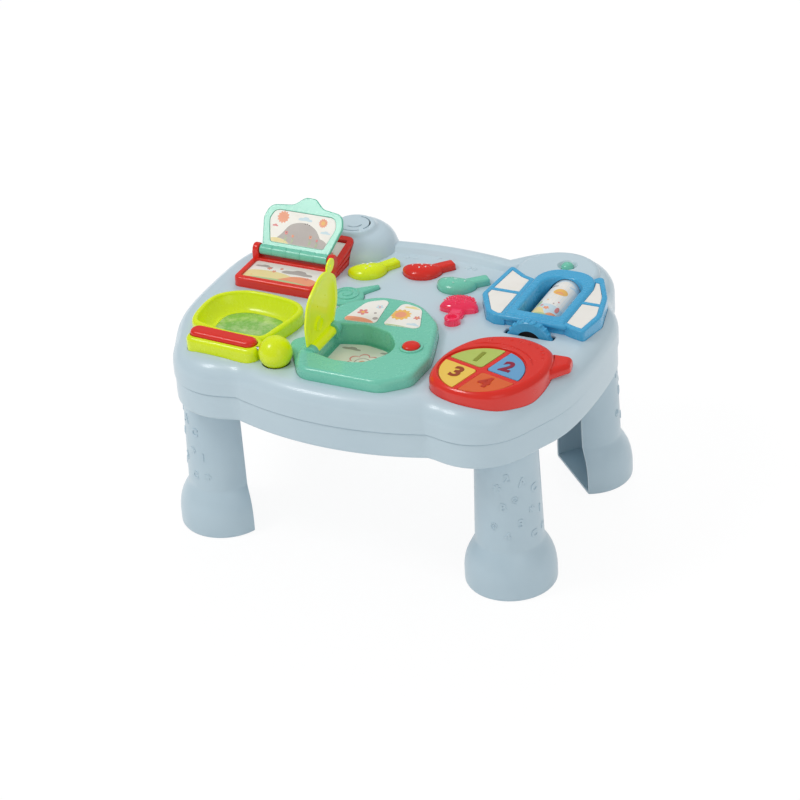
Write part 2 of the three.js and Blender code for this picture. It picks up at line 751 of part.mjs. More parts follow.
const shutterOutlines = [LEFT_SHUTTER_SHARES, RIGHT_SHUTTER_SHARES].map((shares) => (
  fillet(cornersOf(shares, WINDOW.width, windowDepth, WINDOW.shutterEdge))
));
const panelOutlines = [LEFT_PANEL_SHARES, RIGHT_PANEL_SHARES].map((shares) => (
  fillet(cornersOf(shares, DOOR.width, DOOR.depth, PANEL.corner))
));
const snailTailOutline = fillet([
  [0, -SNAIL.tailRoot, 0],
  [SNAIL.tailX, SNAIL.tailY - SNAIL.tailTip, SNAIL.tailTip],
  [SNAIL.tailX - SNAIL.tailTip, SNAIL.tailY + SNAIL.tailTip, SNAIL.tailTip],
  [-SNAIL.tailRoot / 2, SNAIL.tailRoot, 0],
]);
const bookOutline = rectangle(-BOOK.width / 2, BOOK.width / 2, -BOOK.frontLength, BOOK.backLength, BOOK.corner);
const nubOutline = circle(KEYPAD.nubRadius, KEYPAD.nubOut, KEYPAD.nubBack, 20);

// An outline turned about its origin
function leaning(outline, degrees) {
  const angle = THREE.MathUtils.degToRad(degrees);
  return outline.map((p) => p.clone().rotateAround(new THREE.Vector2(), angle));
}

// A hole in the top shell for a module's outline, with its clearance
function shellHole(outline, place, gap = FIT) {
  const hole = prism(insetOutline(outline, -gap), SHELL.seam, SHELL.top + DOME.capRise);
  return inTable(hole, place);
}

function keyHole(outline, place) {
  return shellHole(outline, place, KEY_GAP);
}

// The thickened ring under the power button's dimple, which guides the button's stem
function powerCup() {
  const face = SHELL.top + PAD.rise;
  const outline = circle(POWER.dimpleRadius + SHELL.wall, POWER.x, POWER.y, POWER_FACETS);
  return prism(outline, face - POWER.dimpleDepth - SHELL.wall, face - FIT);
}

function powerDimple() {
  const face = SHELL.top + PAD.rise;
  const floor = face - POWER.dimpleDepth;
  const profile = [
    [0, SHELL.seam],
    [POWER.radius + KEY_GAP, SHELL.seam],
    [POWER.radius + KEY_GAP, floor],
    [POWER.dimpleRadius, face + FIT],
    [POWER.dimpleRadius, face + OVERRUN],
    [0, face + OVERRUN],
  ];
  return revolve(profile, POWER_FACETS).translate([POWER.x, POWER.y, 0]);
}

function screwColumns(radius, bottom, top) {
  return together(CASE_SCREW.places.map(([x, y]) => rod(radius, bottom, top, 10).translate([x, y, 0])));
}

function topShell() {
  const outer = topForm(0, SHELL.seam, SHOULDER_STEPS);
  const inner = topForm(SHELL.wall, SHELL.seam - OVERRUN, INNER_SHOULDER_STEPS);
  const columns = screwColumns(CASE_SCREW.columnRadius, SHELL.seam, SHELL.top + SHELL.rimRise).intersect(outer);
  const holes = [
    shellHole(bookOutline, BOOK),
    shellHole(basinOutline, BASIN),
    shellHole(barOutline, barPlace),
    shellHole(doorOutline, DOOR),
    shellHole(flankOutline, DOOR),
    shellHole(windowOutline, WINDOW),
    ...shutterOutlines.map((outline) => shellHole(outline, WINDOW)),
    shellHole(keypadOutline, keypadPlace),
    shellHole(nubOutline, keypadPlace),
    keyHole(circle(SNAIL.radius), SNAIL),
    keyHole(snailTailOutline, SNAIL),
    shellHole(lampOutline, LAMP),
    shellHole(lampStemOutline, LAMP),
    shellHole(circle(LAMP.knobRadius), { x: LAMP.knobX, y: LAMP.knobY }),
    prism(circle(ballHoleRadius(), ballX, BALL.y, BALL_FACETS), SHELL.seam, SHELL.top + OVERRUN),
    prism(thumbSlotOutline(), SHELL.seam, SHELL.top + OVERRUN),
    powerDimple(),
    ...DOME.slots.map(soundSlot),
    screwColumns(CASE_SCREW.shankRadius + FIT, SHELL.seam - OVERRUN, boreTop()),
  ];
  for (const place of Object.values(MUSHROOM_PLACES)) {
    holes.push(keyHole(capOutline, place), keyHole(leaning(mushroomStemOutline, place.leanAngle), place));
  }
  return outer.subtract(inner).add(together([columns, powerCup()])).subtract(together(holes));
}

// The ball's room is this wide at the height of the table's surface
function ballHoleRadius() {
  return Math.sqrt((BALL.radius + BALL.clearance) ** 2 - BALL.rise ** 2);
}

function boreTop() {
  return SHELL.base + CASE_SCREW.headDepth + CASE_SCREW.shankLength + FIT;
}

function thumbSlotOutline() {
  const half = THUMB.radius + THUMB.gap;
  const deep = THUMB.thickness / 2 + THUMB.gap;
  return rectangle(WINDOW.x - half, WINDOW.x + half, THUMB.y - deep, THUMB.y + deep, THUMB.gap);
}

// Leg places, one for each corner: the stem's axis and the way its round side faces
const LEG_X = TABLE.width / 2 - LEG.edgeX;
const LEG_Y = TABLE.frontReach - LEG.edgeY;
const LEG_PLACES = {
  front_left: { x: -LEG_X, y: -LEG_Y, turnAngle: -135 },
  front_right: { x: LEG_X, y: -LEG_Y, turnAngle: -45 },
  back_left: { x: -LEG_X, y: LEG_Y, turnAngle: 135 },
  back_right: { x: LEG_X, y: LEG_Y, turnAngle: 45 },
};

// A circle with its inner side cut straight, as seen along the leg
function dOutline(radius, cut) {
  const start = Math.acos(-cut / radius);
  return Array.from({ length: LEG.sides }, (_, i) => {
    const angle = -start + (i / (LEG.sides - 1)) * start * 2;
    return new THREE.Vector2(radius * Math.cos(angle), radius * Math.sin(angle));
  });
}

function legPlugTop() {
  return SHELL.base + LEG.plugLength;
}

function leg() {
  const stemTop = SHELL.base - FIT;
  const skin = (offset, cut, bottom, top) => dLoft(cut, [
    [LEG.footRadius - LEG.footEdge - offset, bottom],
    [LEG.footRadius - offset, Math.max(LEG.footEdge, bottom + FIT)],
    [LEG.footRadius - offset, LEG.footWidest],
    [LEG.footShoulderRadius - offset, LEG.footShoulder],
    [LEG.stemBottomRadius - offset, LEG.footTop],
    [LEG.stemTopRadius - offset, top],
  ]);
  const body = skin(0, LEG.cut, 0, stemTop);
  const plug = prism(dOutline(LEG.plugRadius, LEG.cut), stemTop - LEG.wall, legPlugTop());
  const beyond = LEG.cut + OVERRUN;
  const inside = skin(LEG.wall, beyond, LEG.sole, stemTop - LEG.wall);
  const throat = prism(dOutline(LEG.plugRadius - LEG.wall, beyond), LEG.footTop, legPlugTop() - LEG.wall);
  return body.add(plug).subtract(inside.add(throat));
}

// Rings of D-shaped sections, all cut on one flat plane
function dLoft(cut, levels) {
  return loft(levels.map(([radius, z]) => ringAt(dOutline(radius, cut), z)));
}

// Battery bay sizes
const cellPitch = CELL.radius * 2 + CELL.gap;
const bayInside = {
  x: CELL.length + CELL.tipLength + CONTACT.thickness * 2 + FIT * 4,
  y: cellPitch * CELL.count + CELL.gap,
  z: CELL.radius * 2 + CELL.gap,
};
const bayFloor = SHELL.base + BAY.doorThickness + FIT;
const doorHalf = { x: bayInside.x / 2 + BAY.ledge, y: bayInside.y / 2 + BAY.ledge };
const cellZ = bayFloor + CELL.radius + FIT;
const doorScrew = { x: BAY.x, y: BAY.y + doorHalf.y + BAY.screwTab / 2 };

function bayDoorOutline(gap) {
  const [x, y] = [doorHalf.x + gap, doorHalf.y + gap];
  const tab = BAY.screwTab + gap;
  return fillet([
    [BAY.x - x, BAY.y - y, BAY.ledge], [BAY.x + x, BAY.y - y, BAY.ledge], [BAY.x + x, BAY.y + y, BAY.ledge],
    [BAY.x + tab, BAY.y + y, 0], [BAY.x + tab, BAY.y + y + BAY.screwTab, BAY.ledge],
    [BAY.x - tab, BAY.y + y + BAY.screwTab, BAY.ledge], [BAY.x - tab, BAY.y + y, 0],
    [BAY.x - x, BAY.y + y, BAY.ledge],
  ]);
}

function bottomShell() {
  const skin = insetOutline(OUTLINE, SHELL.seamStep);
  const seamFace = SHELL.seam - FIT;
  const outer = slab(skin, [
    [SHELL.baseEdge, SHELL.base],
    [SHELL.baseEdge * SHELL.baseEdgeShare, SHELL.base + SHELL.baseEdge * SHELL.baseEdgeShare],
    [0, SHELL.base + SHELL.baseEdge],
    [0, seamFace],
  ]);
  const inner = slab(skin, [
    [SHELL.baseEdge, SHELL.base + SHELL.wall],
    [SHELL.wall, SHELL.base + SHELL.baseEdge],
    [SHELL.wall, seamFace + OVERRUN],
  ]);
  const socketTop = legPlugTop() + FIT + SHELL.wall;
  const socketWall = LEG.plugRadius + FIT + SHELL.wall;
  const places = Object.values(LEG_PLACES);
  const sockets = together(places.map((place) => inTable(
    prism(dOutline(socketWall, LEG.cut + FIT + SHELL.wall), SHELL.base, socketTop), place,
  )));
  const socketHoles = together(places.map((place) => inTable(
    prism(dOutline(LEG.plugRadius + FIT, LEG.cut + FIT), SHELL.base - OVERRUN, legPlugTop() + FIT), place,
  )));
  const bayWall = rectangle(BAY.x - doorHalf.x - BAY.roof, BAY.x + doorHalf.x + BAY.roof,
    BAY.y - doorHalf.y - BAY.roof, BAY.y + doorHalf.y + BAY.roof);
  const bay = prism(bayWall, SHELL.base, bayFloor + bayInside.z + BAY.roof);
  const bayRoom = prism(
    rectangle(BAY.x - bayInside.x / 2, BAY.x + bayInside.x / 2, BAY.y - bayInside.y / 2, BAY.y + bayInside.y / 2),
    SHELL.base - OVERRUN, bayFloor + bayInside.z,
  );
  const doorRecess = prism(bayDoorOutline(FIT), SHELL.base - OVERRUN, bayFloor);
  const doorBoss = rod(BOARD.bossRadius, SHELL.base, bayFloor + bayInside.z, 10)
    .translate([doorScrew.x, doorScrew.y, 0]);
  const tabRoof = prism(insetOutline(bayDoorOutline(FIT), -SHELL.wall), SHELL.base, bayFloor + SHELL.wall);
  const doorBore = rod(CASE_SCREW.shankRadius + FIT, SHELL.base, doorScrewTop() + FIT, 12)
    .translate([doorScrew.x, doorScrew.y, 0]);
  const columns = screwColumns(CASE_SCREW.columnRadius, SHELL.base, seamFace);
  const headBores = screwColumns(
    CASE_SCREW.headRadius + FIT, SHELL.base - OVERRUN, SHELL.base + CASE_SCREW.headDepth + FIT,
  );
  const shankBores = screwColumns(CASE_SCREW.shankRadius + FIT, SHELL.base, SHELL.seam);
  return outer.subtract(inner)
    .add(sockets.intersect(outer))
    .add(bay)
    .add(doorBoss)
    .add(tabRoof)
    .add(columns)
    .add(boardPosts())
    .subtract(together([socketHoles, bayRoom, doorRecess, doorBore, headBores, shankBores]));
}

function boardPosts() {
  const x = BOARD.width / 2 - BOARD.postInset;
  const y = BOARD.depth / 2 - BOARD.postInset;
  const post = rod(BOARD.postRadius, SHELL.base + SHELL.wall / 2, BOARD.height - FIT, 8);
  const corners = [[-x, -y], [x, -y], [x, y], [-x, y]];
  return together(corners.map(([dx, dy]) => post.translate([BOARD.x + dx, BOARD.y + dy, 0])));
}

function doorScrewTop() {
  return bayFloor + CELL.radius;
}

// A round-headed screw with a cross slot, head down, in its own frame
function screw(headBottom, length) {
  const profile = [
    [0, headBottom],
    [CASE_SCREW.headRadius, headBottom],
    [CASE_SCREW.headRadius, headBottom + CASE_SCREW.headLength],
    [CASE_SCREW.shankRadius, headBottom + CASE_SCREW.headLength],
    [CASE_SCREW.shankRadius, headBottom + length - CASE_SCREW.shankRadius],
    [0, headBottom + length],
  ];
  return revolve(profile, 8);
}

function buildTable() {
  addPart(table, 'top_shell', topShell(), LOOK.paleBlue);
  addPart(table, 'bottom_shell', bottomShell(), LOOK.paleBlue);
  const oneLeg = leg();
  for (const [corner, place] of Object.entries(LEG_PLACES)) {
    addPart(addGroup(place), `leg_${corner}`, oneLeg, LOOK.paleBlue);
  }
  const headBottom = SHELL.base + CASE_SCREW.headDepth - CASE_SCREW.headLength;
  CASE_SCREW.places.forEach(([x, y], i) => {
    const body = screw(headBottom, CASE_SCREW.headLength + CASE_SCREW.shankLength);
    addPart(addGroup({ x, y }), `case_screw_${i + 1}`, body, LOOK.steel);
  });
}

function buildBay() {
  const here = { x: 0, y: 0 };
  const group = addGroup(here);
  const screwHead = SHELL.base + BAY.doorThickness - CASE_SCREW.headLength;
  const hole = rod(CASE_SCREW.shankRadius + FIT, SHELL.base - OVERRUN, bayFloor, 12);
  const headHole = rod(CASE_SCREW.headRadius + FIT, SHELL.base - OVERRUN, SHELL.base + CASE_SCREW.headLength / 2, 12);
  const door = prism(bayDoorOutline(0), SHELL.base, SHELL.base + BAY.doorThickness)
    .subtract(hole.add(headHole).translate([doorScrew.x, doorScrew.y, 0]));
  addPart(group, 'battery_door', door, LOOK.paleBlue);
  const doorScrewBottom = SHELL.base + CASE_SCREW.headLength / 2 - CASE_SCREW.headLength - FIT / 2;
  const body = screw(doorScrewBottom, doorScrewTop() - doorScrewBottom);
  addPart(addGroup(doorScrew), 'battery_door_screw', body, LOOK.steel);
  for (let i = 0; i < CELL.count; i += 1) {
    const y = BAY.y + (i - (CELL.count - 1) / 2) * cellPitch;
    const flip = i % 2 === 0 ? 1 : -1;
    const profile = [
      [0, 0],
      [CELL.radius, 0],
      [CELL.radius, CELL.length],
      [CELL.tipRadius, CELL.length],
      [CELL.tipRadius, CELL.length + CELL.tipLength],
      [0, CELL.length + CELL.tipLength],
    ];
    const middle = (CELL.length + CELL.tipLength) / 2;
    const cell = revolve(profile, 14).translate([0, 0, -middle]).rotate([0, 90 * flip, 0]);
    addPart(group, `battery_${i + 1}`, cell.translate([BAY.x, y, cellZ]), LOOK.cell);
  }
  const contactX = bayInside.x / 2 - FIT - CONTACT.thickness / 2;
  for (const [side, sign] of [['left', -1], ['right', 1]]) {
    const x = BAY.x + sign * contactX;
    const halfY = bayInside.y / 2 - CONTACT.inset;
    const outline = rectangle(x - CONTACT.thickness / 2, x + CONTACT.thickness / 2, BAY.y - halfY, BAY.y + halfY);
    const plate = prism(outline, bayFloor + FIT, bayFloor + bayInside.z - CONTACT.inset);
    addPart(group, `contact_plate_${side}`, plate, LOOK.steel);
  }
  const [halfX, halfY] = [BOARD.width / 2, BOARD.depth / 2];
  const boardBody = prism(
    rectangle(BOARD.x - halfX, BOARD.x + halfX, BOARD.y - halfY, BOARD.y + halfY, BOARD.postRadius),
    BOARD.height, BOARD.height + BOARD.thickness,
  );
  addPart(group, 'circuit_board', boardBody, LOOK.board);
  const coneTop = SHELL.top + DOME.capRise - SHELL.wall - FIT;
  const speakerProfile = [
    [0, coneTop - SPEAKER.coneDepth - SPEAKER.magnetDepth],
    [SPEAKER.magnetRadius, coneTop - SPEAKER.coneDepth - SPEAKER.magnetDepth],
    [SPEAKER.magnetRadius, coneTop - SPEAKER.coneDepth],
    [DOME.capRadius - SHELL.wall - FIT, coneTop - SPEAKER.rim],
    [DOME.capRadius - SHELL.wall - FIT, coneTop],
    [SPEAKER.coneRadius, coneTop],
    [SPEAKER.magnetRadius / 2, coneTop - SPEAKER.coneDepth / 2],
    [0, coneTop - SPEAKER.coneDepth / 3],
  ];
  addPart(addGroup(DOME), 'speaker', revolve(speakerProfile, 20), LOOK.black);
}

// Book. Its own frame: x along the hinge, y towards the back, hinge line above the origin
const hingeZ = SHELL.top + BOOK_HINGE.rise;
const bookFrontTop = SHELL.top + BOOK.frontRise;
const bookBackTop = SHELL.top + BOOK.backRise;
const bookSlope = Math.atan2(BOOK.backRise - BOOK.frontRise, BOOK.backLength);

function sideProfile(points, width) {
  const shape = new THREE.Shape(points.map(([y, z]) => new THREE.Vector2(y, z)));
  const geometry = new THREE.ExtrudeGeometry(shape, { depth: width, bevelEnabled: false });
  return solid(geometry).rotate([90, 0, 90]).translate([-width / 2, 0, 0]);
}

function bookFrame() {
  const skirtZ = SHELL.top - BOOK.skirt;
  const front = rounded(
    rectangle(-BOOK.width / 2, BOOK.width / 2, -BOOK.frontLength, BOOK.corner, BOOK.corner),
    skirtZ, bookFrontTop, BOOK.edge,
  );
  const slopeAt = (y) => bookFrontTop + y * Math.tan(bookSlope);
  const coreWidth = BOOK.width - BOOK.layerInset * 2;
  const backCore = sideProfile([
    [0, skirtZ], [BOOK.backLength - BOOK.layerInset, skirtZ],
    [BOOK.backLength - BOOK.layerInset, bookBackTop], [0, bookFrontTop],
  ], coreWidth);
  const pitch = (bookBackTop - SHELL.top) / BOOK.layerCount;
  const plan = prism(bookOutline, skirtZ, bookBackTop + OVERRUN);
  const layers = [];
  for (let i = 0; i < BOOK.layerCount; i += 1) {
    const drop = i * pitch;
    const thick = pitch - BOOK.layerGap;
    layers.push(sideProfile([
      [0, bookFrontTop - (drop + thick) / 2], [BOOK.backLength, bookBackTop - drop - thick],
      [BOOK.backLength, bookBackTop - drop], [0, bookFrontTop - drop / 2],
    ], BOOK.width));
  }
  const skirt = prism(
    rectangle(-BOOK.width / 2, BOOK.width / 2, 0, BOOK.backLength, BOOK.corner), skirtZ, SHELL.top + BOOK.layerGap,
  );
  let body = front.add(together([backCore, skirt, ...layers]).intersect(plan));
  const inner = insetOutline(bookOutline, BOOK.wall + BOOK.layerInset);
  const hollow = prism(inner, skirtZ - OVERRUN, bookFrontTop - BOOK.trayDepth - BOOK.wall);
  const trayHalf = BOOK.width / 2 - BOOK.trayInset;
  const hingeRoom = BOOK_HINGE.barrelRadius + FIT + BOOK.layerGap;
  const frontTray = prism(
    rectangle(-trayHalf, trayHalf, -BOOK.frontLength + BOOK.trayInset, -hingeRoom, BOOK.corner / 2),
    bookFrontTop - BOOK.trayDepth, bookFrontTop + OVERRUN,
  );
  const backTray = sideProfile([
    [hingeRoom, slopeAt(hingeRoom) - BOOK.trayDepth],
    [BOOK.backLength - BOOK.trayInset, slopeAt(BOOK.backLength - BOOK.trayInset) - BOOK.trayDepth],
    [BOOK.backLength - BOOK.trayInset, bookBackTop + OVERRUN],
    [hingeRoom, bookBackTop + OVERRUN],
  ], trayHalf * 2);
  const lugX = BOOK_HINGE.barrelLength / 2 + KEY_GAP;
  const barrelRoom = rodX(BOOK_HINGE.barrelRadius + BOOK_HINGE.clearance, -lugX, lugX, 0, hingeZ);
  for (const sign of [-1, 1]) {
    const [from, to] = sign < 0 ? [-lugX - BOOK_HINGE.lugWidth, -lugX] : [lugX, lugX + BOOK_HINGE.lugWidth];
    const eye = rodX(BOOK_HINGE.lugRadius, from, to, 0, hingeZ);
    const post = prism(
      rectangle(from, to, -BOOK_HINGE.lugRadius, BOOK_HINGE.lugRadius), bookFrontTop - BOOK.wall, hingeZ,
    );
    body = body.add(eye).add(post);
  }
  const pinBore = rodX(
    BOOK_HINGE.pinRadius + FIT, -lugX - BOOK_HINGE.lugWidth + BOOK.wall, lugX + BOOK_HINGE.lugWidth - BOOK.wall, 0,
    hingeZ, 12,
  );
  return body.subtract(together([hollow, frontTray, backTray, barrelRoom, pinBore]));
}

// Page outline in its own plane: x along the hinge, y up the page
function pageOutline() {
  const [half, foot] = [PAGE.footWidth / 2, BOOK_HINGE.barrelRadius / 2];
  return fillet([[-half, foot, 0], [half, foot, 0], ...cornersOf(PAGE_SHARES, PAGE.width, PAGE.height, PAGE.corner)]);
}

function pageWindow(gap) {
  return insetOutline(fillet(cornersOf(PAGE_WINDOW_SHARES, PAGE.width, PAGE.height, PAGE.corner)), gap);
}

function buildBook() {
  const group = addGroup(BOOK);
  addPart(group, 'book_frame', bookFrame(), LOOK.red);
  const trayHalf = BOOK.width / 2 - BOOK.trayInset - FIT;
  const hingeRoom = BOOK_HINGE.barrelRadius + BOOK.layerGap + FIT * 2;
  const floor = bookFrontTop - BOOK.trayDepth;
  const frontCard = prism(
    rectangle(-trayHalf, trayHalf, -BOOK.frontLength + BOOK.trayInset + FIT, -hingeRoom, BOOK.corner / 2),
    floor + FIT, floor + FIT + BOOK.cardThickness,
  );
  addPart(group, 'book_front_picture', frontCard, LOOK.card);
  const slopeAt = (y) => floor + FIT / Math.cos(bookSlope) + y * Math.tan(bookSlope);
  const end = BOOK.backLength - BOOK.trayInset - FIT;
  const backCard = sideProfile([
    [hingeRoom, slopeAt(hingeRoom)], [end, slopeAt(end)],
    [end, slopeAt(end) + BOOK.cardThickness], [hingeRoom, slopeAt(hingeRoom) + BOOK.cardThickness],
  ], trayHalf * 2);
  addPart(group, 'book_back_picture', backCard, LOOK.card);
  const pinHalf = BOOK_HINGE.barrelLength / 2 + KEY_GAP + BOOK_HINGE.lugWidth - BOOK.wall - FIT;
  addPart(group, 'book_hinge_pin', rodX(BOOK_HINGE.pinRadius, -pinHalf, pinHalf, 0, hingeZ, 12), LOOK.steel);

  // The page is drawn lying flat to the back of its hinge, then tilted up to its open angle
  const page = new THREE.Group();
  page.position.set(0, 0, hingeZ);
  page.rotation.x = THREE.MathUtils.degToRad(PAGE.openAngle);
  group.add(page);
  const half = PAGE.thickness / 2;
  const plate = slab(pageOutline(), [[half / 2, -half], [0, -half / 2], [0, half / 2], [half / 2, half]]);
  const barrel = rodX(
    BOOK_HINGE.barrelRadius, -BOOK_HINGE.barrelLength / 2, BOOK_HINGE.barrelLength / 2, 0, 0, 24,
  );
  const bore = rodX(BOOK_HINGE.pinRadius + FIT, -BOOK_HINGE.barrelLength, BOOK_HINGE.barrelLength, 0, 0, 12);
  const recess = PAGE.cardInset + BOOK.cardThickness;
  const frontRecess = prism(pageWindow(0), half - recess, half + OVERRUN);
  const backRecess = prism(pageWindow(0), -half - OVERRUN, -half + recess);
  const body = plate.add(barrel).subtract(together([bore, frontRecess, backRecess]));
  addPart(page, 'book_page', body, LOOK.mint);
  const cardZ = half - recess + FIT;
  const card = prism(pageWindow(FIT), cardZ, cardZ + BOOK.cardThickness - FIT);
  addPart(page, 'page_front_picture', card, LOOK.card);
  addPart(page, 'page_back_picture', card.mirror([0, 0, 1]), LOOK.card);
}

// Basin, bar, long key and ball
function basinFrame() {
  const skirtZ = SHELL.top - BASIN.skirt;
  const top = SHELL.top + BASIN.rise;
  const floorZ = SHELL.top + BASIN.floorRise;
  const basin = inTable(rounded(basinOutline, skirtZ, top, BASIN.edge), BASIN);
  const bar = inTable(rounded(barOutline, skirtZ, SHELL.top + BAR.rise, BAR.edge), barPlace);
  const rim = insetOutline(basinOutline, BASIN.rimWidth);
  const middle = rim.reduce((sum, p) => sum.add(p), new THREE.Vector2()).divideScalar(rim.length);
  const drawnIn = (share) => rim.map((p) => p.clone().sub(middle).multiplyScalar(share).add(middle));
  const bowl = loft([
    ringAt(drawnIn(BASIN.floorShare), floorZ),
    ringAt(drawnIn((1 + BASIN.floorShare) / 2), floorZ + BASIN.rise * BASIN.bowlShare),
    ringAt(drawnIn(1), top - BASIN.edge / 2),
    ringAt(insetOutline(rim, -BASIN.edge / 2), top + FIT),
    ringAt(insetOutline(rim, -BASIN.edge / 2), top + OVERRUN),
  ]);
  const windowSeat = prism(drawnIn(BASIN.floorShare), floorZ - BASIN.windowThickness - FIT, floorZ + OVERRUN);
  const light = prism(drawnIn(BASIN.floorShare * BASIN.lightShare), skirtZ - OVERRUN, floorZ);
  const keySlot = inTable(
    prism(insetOutline(longKeyOutline, -KEY_GAP), longKeyFloor() - FIT, top + OVERRUN), longKeyPlace,
  );
  const axleBore = rodX(
    BALL.axleRadius + FIT, ballX - BALL.radius - BALL.axleBite - FIT, ballX, BALL.y, SHELL.top + BALL.rise, 16,
  );
  const ballRoom = ballForm(BALL.radius + BALL.clearance);
  return basin.add(bar)
    .subtract(inTable(together([bowl, windowSeat, light]), BASIN))
    .subtract(keySlot)
    .subtract(ballRoom.translate([ballX, BALL.y, SHELL.top + BALL.rise]))
    .subtract(axleBore);
}

function ballForm(radius) {
  return solid(new THREE.SphereGeometry(radius, BALL_FACETS, BALL_FACETS / 2).rotateX(Math.PI / 2));
}

function longKeyFloor() {
  return SHELL.top + LONG_KEY.edge;
}

function buildBasin() {
  const group = addGroup({ x: 0, y: 0 });
  addPart(group, 'basin_frame', basinFrame(), LOOK.lime);
  const rim = insetOutline(basinOutline, BASIN.rimWidth);
  const middle = rim.reduce((sum, p) => sum.add(p), new THREE.Vector2()).divideScalar(rim.length);
  const pane = rim.map((p) => p.clone().sub(middle).multiplyScalar(BASIN.floorShare).add(middle));
  const floorZ = SHELL.top + BASIN.floorRise;
  const window = prism(insetOutline(pane, FIT), floorZ - BASIN.windowThickness, floorZ);
  addPart(addGroup(BASIN), 'basin_window', window, LOOK.green);
  const keyBottom = longKeyFloor() + LONG_KEY.travel + FIT;
  const key = rounded(longKeyOutline, keyBottom, SHELL.top + LONG_KEY.rise, LONG_KEY.edge);
  addPart(addGroup(longKeyPlace), 'basin_key', key, LOOK.red);
  const ballZ = SHELL.top + BALL.rise;
  const bore = rodX(BALL.axleRadius + FIT, -BALL.radius - OVERRUN, BALL.radius - BALL.axleEnd, 0, 0, 16);
  const ball = addPart(group, 'basin_ball', ballForm(BALL.radius).subtract(bore), LOOK.lime);
  ball.position.set(ballX, BALL.y, ballZ);
  const axle = rodX(
    BALL.axleRadius, ballX - BALL.radius - BALL.axleBite, ballX + BALL.radius - BALL.axleEnd - FIT, BALL.y, ballZ, 16,
  );
  addPart(group, 'ball_axle', axle, LOOK.steel);
}

// Door box, in the table's own frame
const wellPlace = { x: WELL.x, y: WELL.y };
const pivotX = WELL.x - LID.pivotInset;
const pivotZ = SHELL.top + DOOR.rise - LID.pivotDrop;

function doorBox() {
  const skirtZ = SHELL.top - DOOR.skirt;
  const top = SHELL.top + DOOR.rise;
  const floorZ = top - WELL.depth;
  const coverBody = inTable(cover(doorOutline, skirtZ, top, DOOR.edge, DOOR.wall), DOOR);
  const flank = inTable(cover(flankOutline, skirtZ, SHELL.top + DOOR.flankRise, DOOR.flankEdge, DOOR.wall), DOOR);
  const tub = inTable(
    prism(insetOutline(wellOutline, -DOOR.wall), floorZ - DOOR.wall, top - DOOR.wall / 2), wellPlace,
  );
  const well = inTable(prism(wellOutline, floorZ, top + OVERRUN), wellPlace);
  const barrelHalf = LID.barrelLength / 2 + KEY_GAP;
  const barrelRoom = rodY(LID.barrelRadius + FIT * 2, WELL.y - barrelHalf, WELL.y + barrelHalf, pivotX, pivotZ);
  const notch = prism(
    rectangle(pivotX - LID.barrelRadius - FIT * 2, WELL.x + LID.clearance * 2, WELL.y - barrelHalf, WELL.y + barrelHalf),
    pivotZ - LID.barrelRadius - FIT * 2, top + OVERRUN,
  );
  const pocket = prism(
    rectangle(pivotX - LID.barrelRadius - FIT * 2 - DOOR.wall, WELL.x + DOOR.wall,
      WELL.y - barrelHalf - LID.lugWidth, WELL.y + barrelHalf + LID.lugWidth),
    pivotZ - LID.barrelRadius - FIT * 2 - DOOR.wall, top - DOOR.wall / 2,
  );
  const lugs = [
    rodY(LID.lugRadius, WELL.y - barrelHalf - LID.lugWidth, WELL.y - barrelHalf, pivotX, pivotZ),
    rodY(LID.lugRadius, WELL.y + barrelHalf, WELL.y + barrelHalf + LID.lugWidth, pivotX, pivotZ),
  ];
  const pinHalf = barrelHalf + LID.lugWidth - DOOR.wall;
  const pinBore = rodY(LID.pinRadius + FIT, WELL.y - pinHalf, WELL.y + pinHalf, pivotX, pivotZ, 12);
  const ringTop = top + LID_BUTTON.ringRise;
  const ring = inTable(
    rounded(circle(LID_BUTTON.ringRadius), top - DOOR.wall / 2, ringTop, LID_BUTTON.ringRise), buttonPlace,
  );
  const buttonHole = inTable(
    prism(circle(LID_BUTTON.radius + KEY_GAP), skirtZ - OVERRUN, ringTop + OVERRUN), buttonPlace,
  );
  const seats = panelOutlines.map((outline) => inTable(
    prism(insetOutline(outline, -FIT), top - PANEL.depth - FIT, top + OVERRUN), DOOR,
  ));
  const rib = rod(WELL.ribRadius, floorZ, top - DOOR.edge, 10)
    .translate([WELL.x + WELL.length * WELL.ribLengthShare, WELL.y + WELL.width * WELL.ribWidthShare, 0]);
  const shell = coverBody.subtract(inTable(prism(insetOutline(flankOutline, DOOR.wall), skirtZ - OVERRUN,
    SHELL.top + DOOR.flankRise - DOOR.wall), DOOR));
  return together([shell, flank.subtract(inTable(prism(insetOutline(doorOutline, DOOR.wall), skirtZ - OVERRUN,
    top - DOOR.wall), DOOR)), tub, pocket, ...lugs, ring])
    .subtract(together([well, barrelRoom, notch, pinBore, buttonHole, ...seats]))
    .add(rib);
}

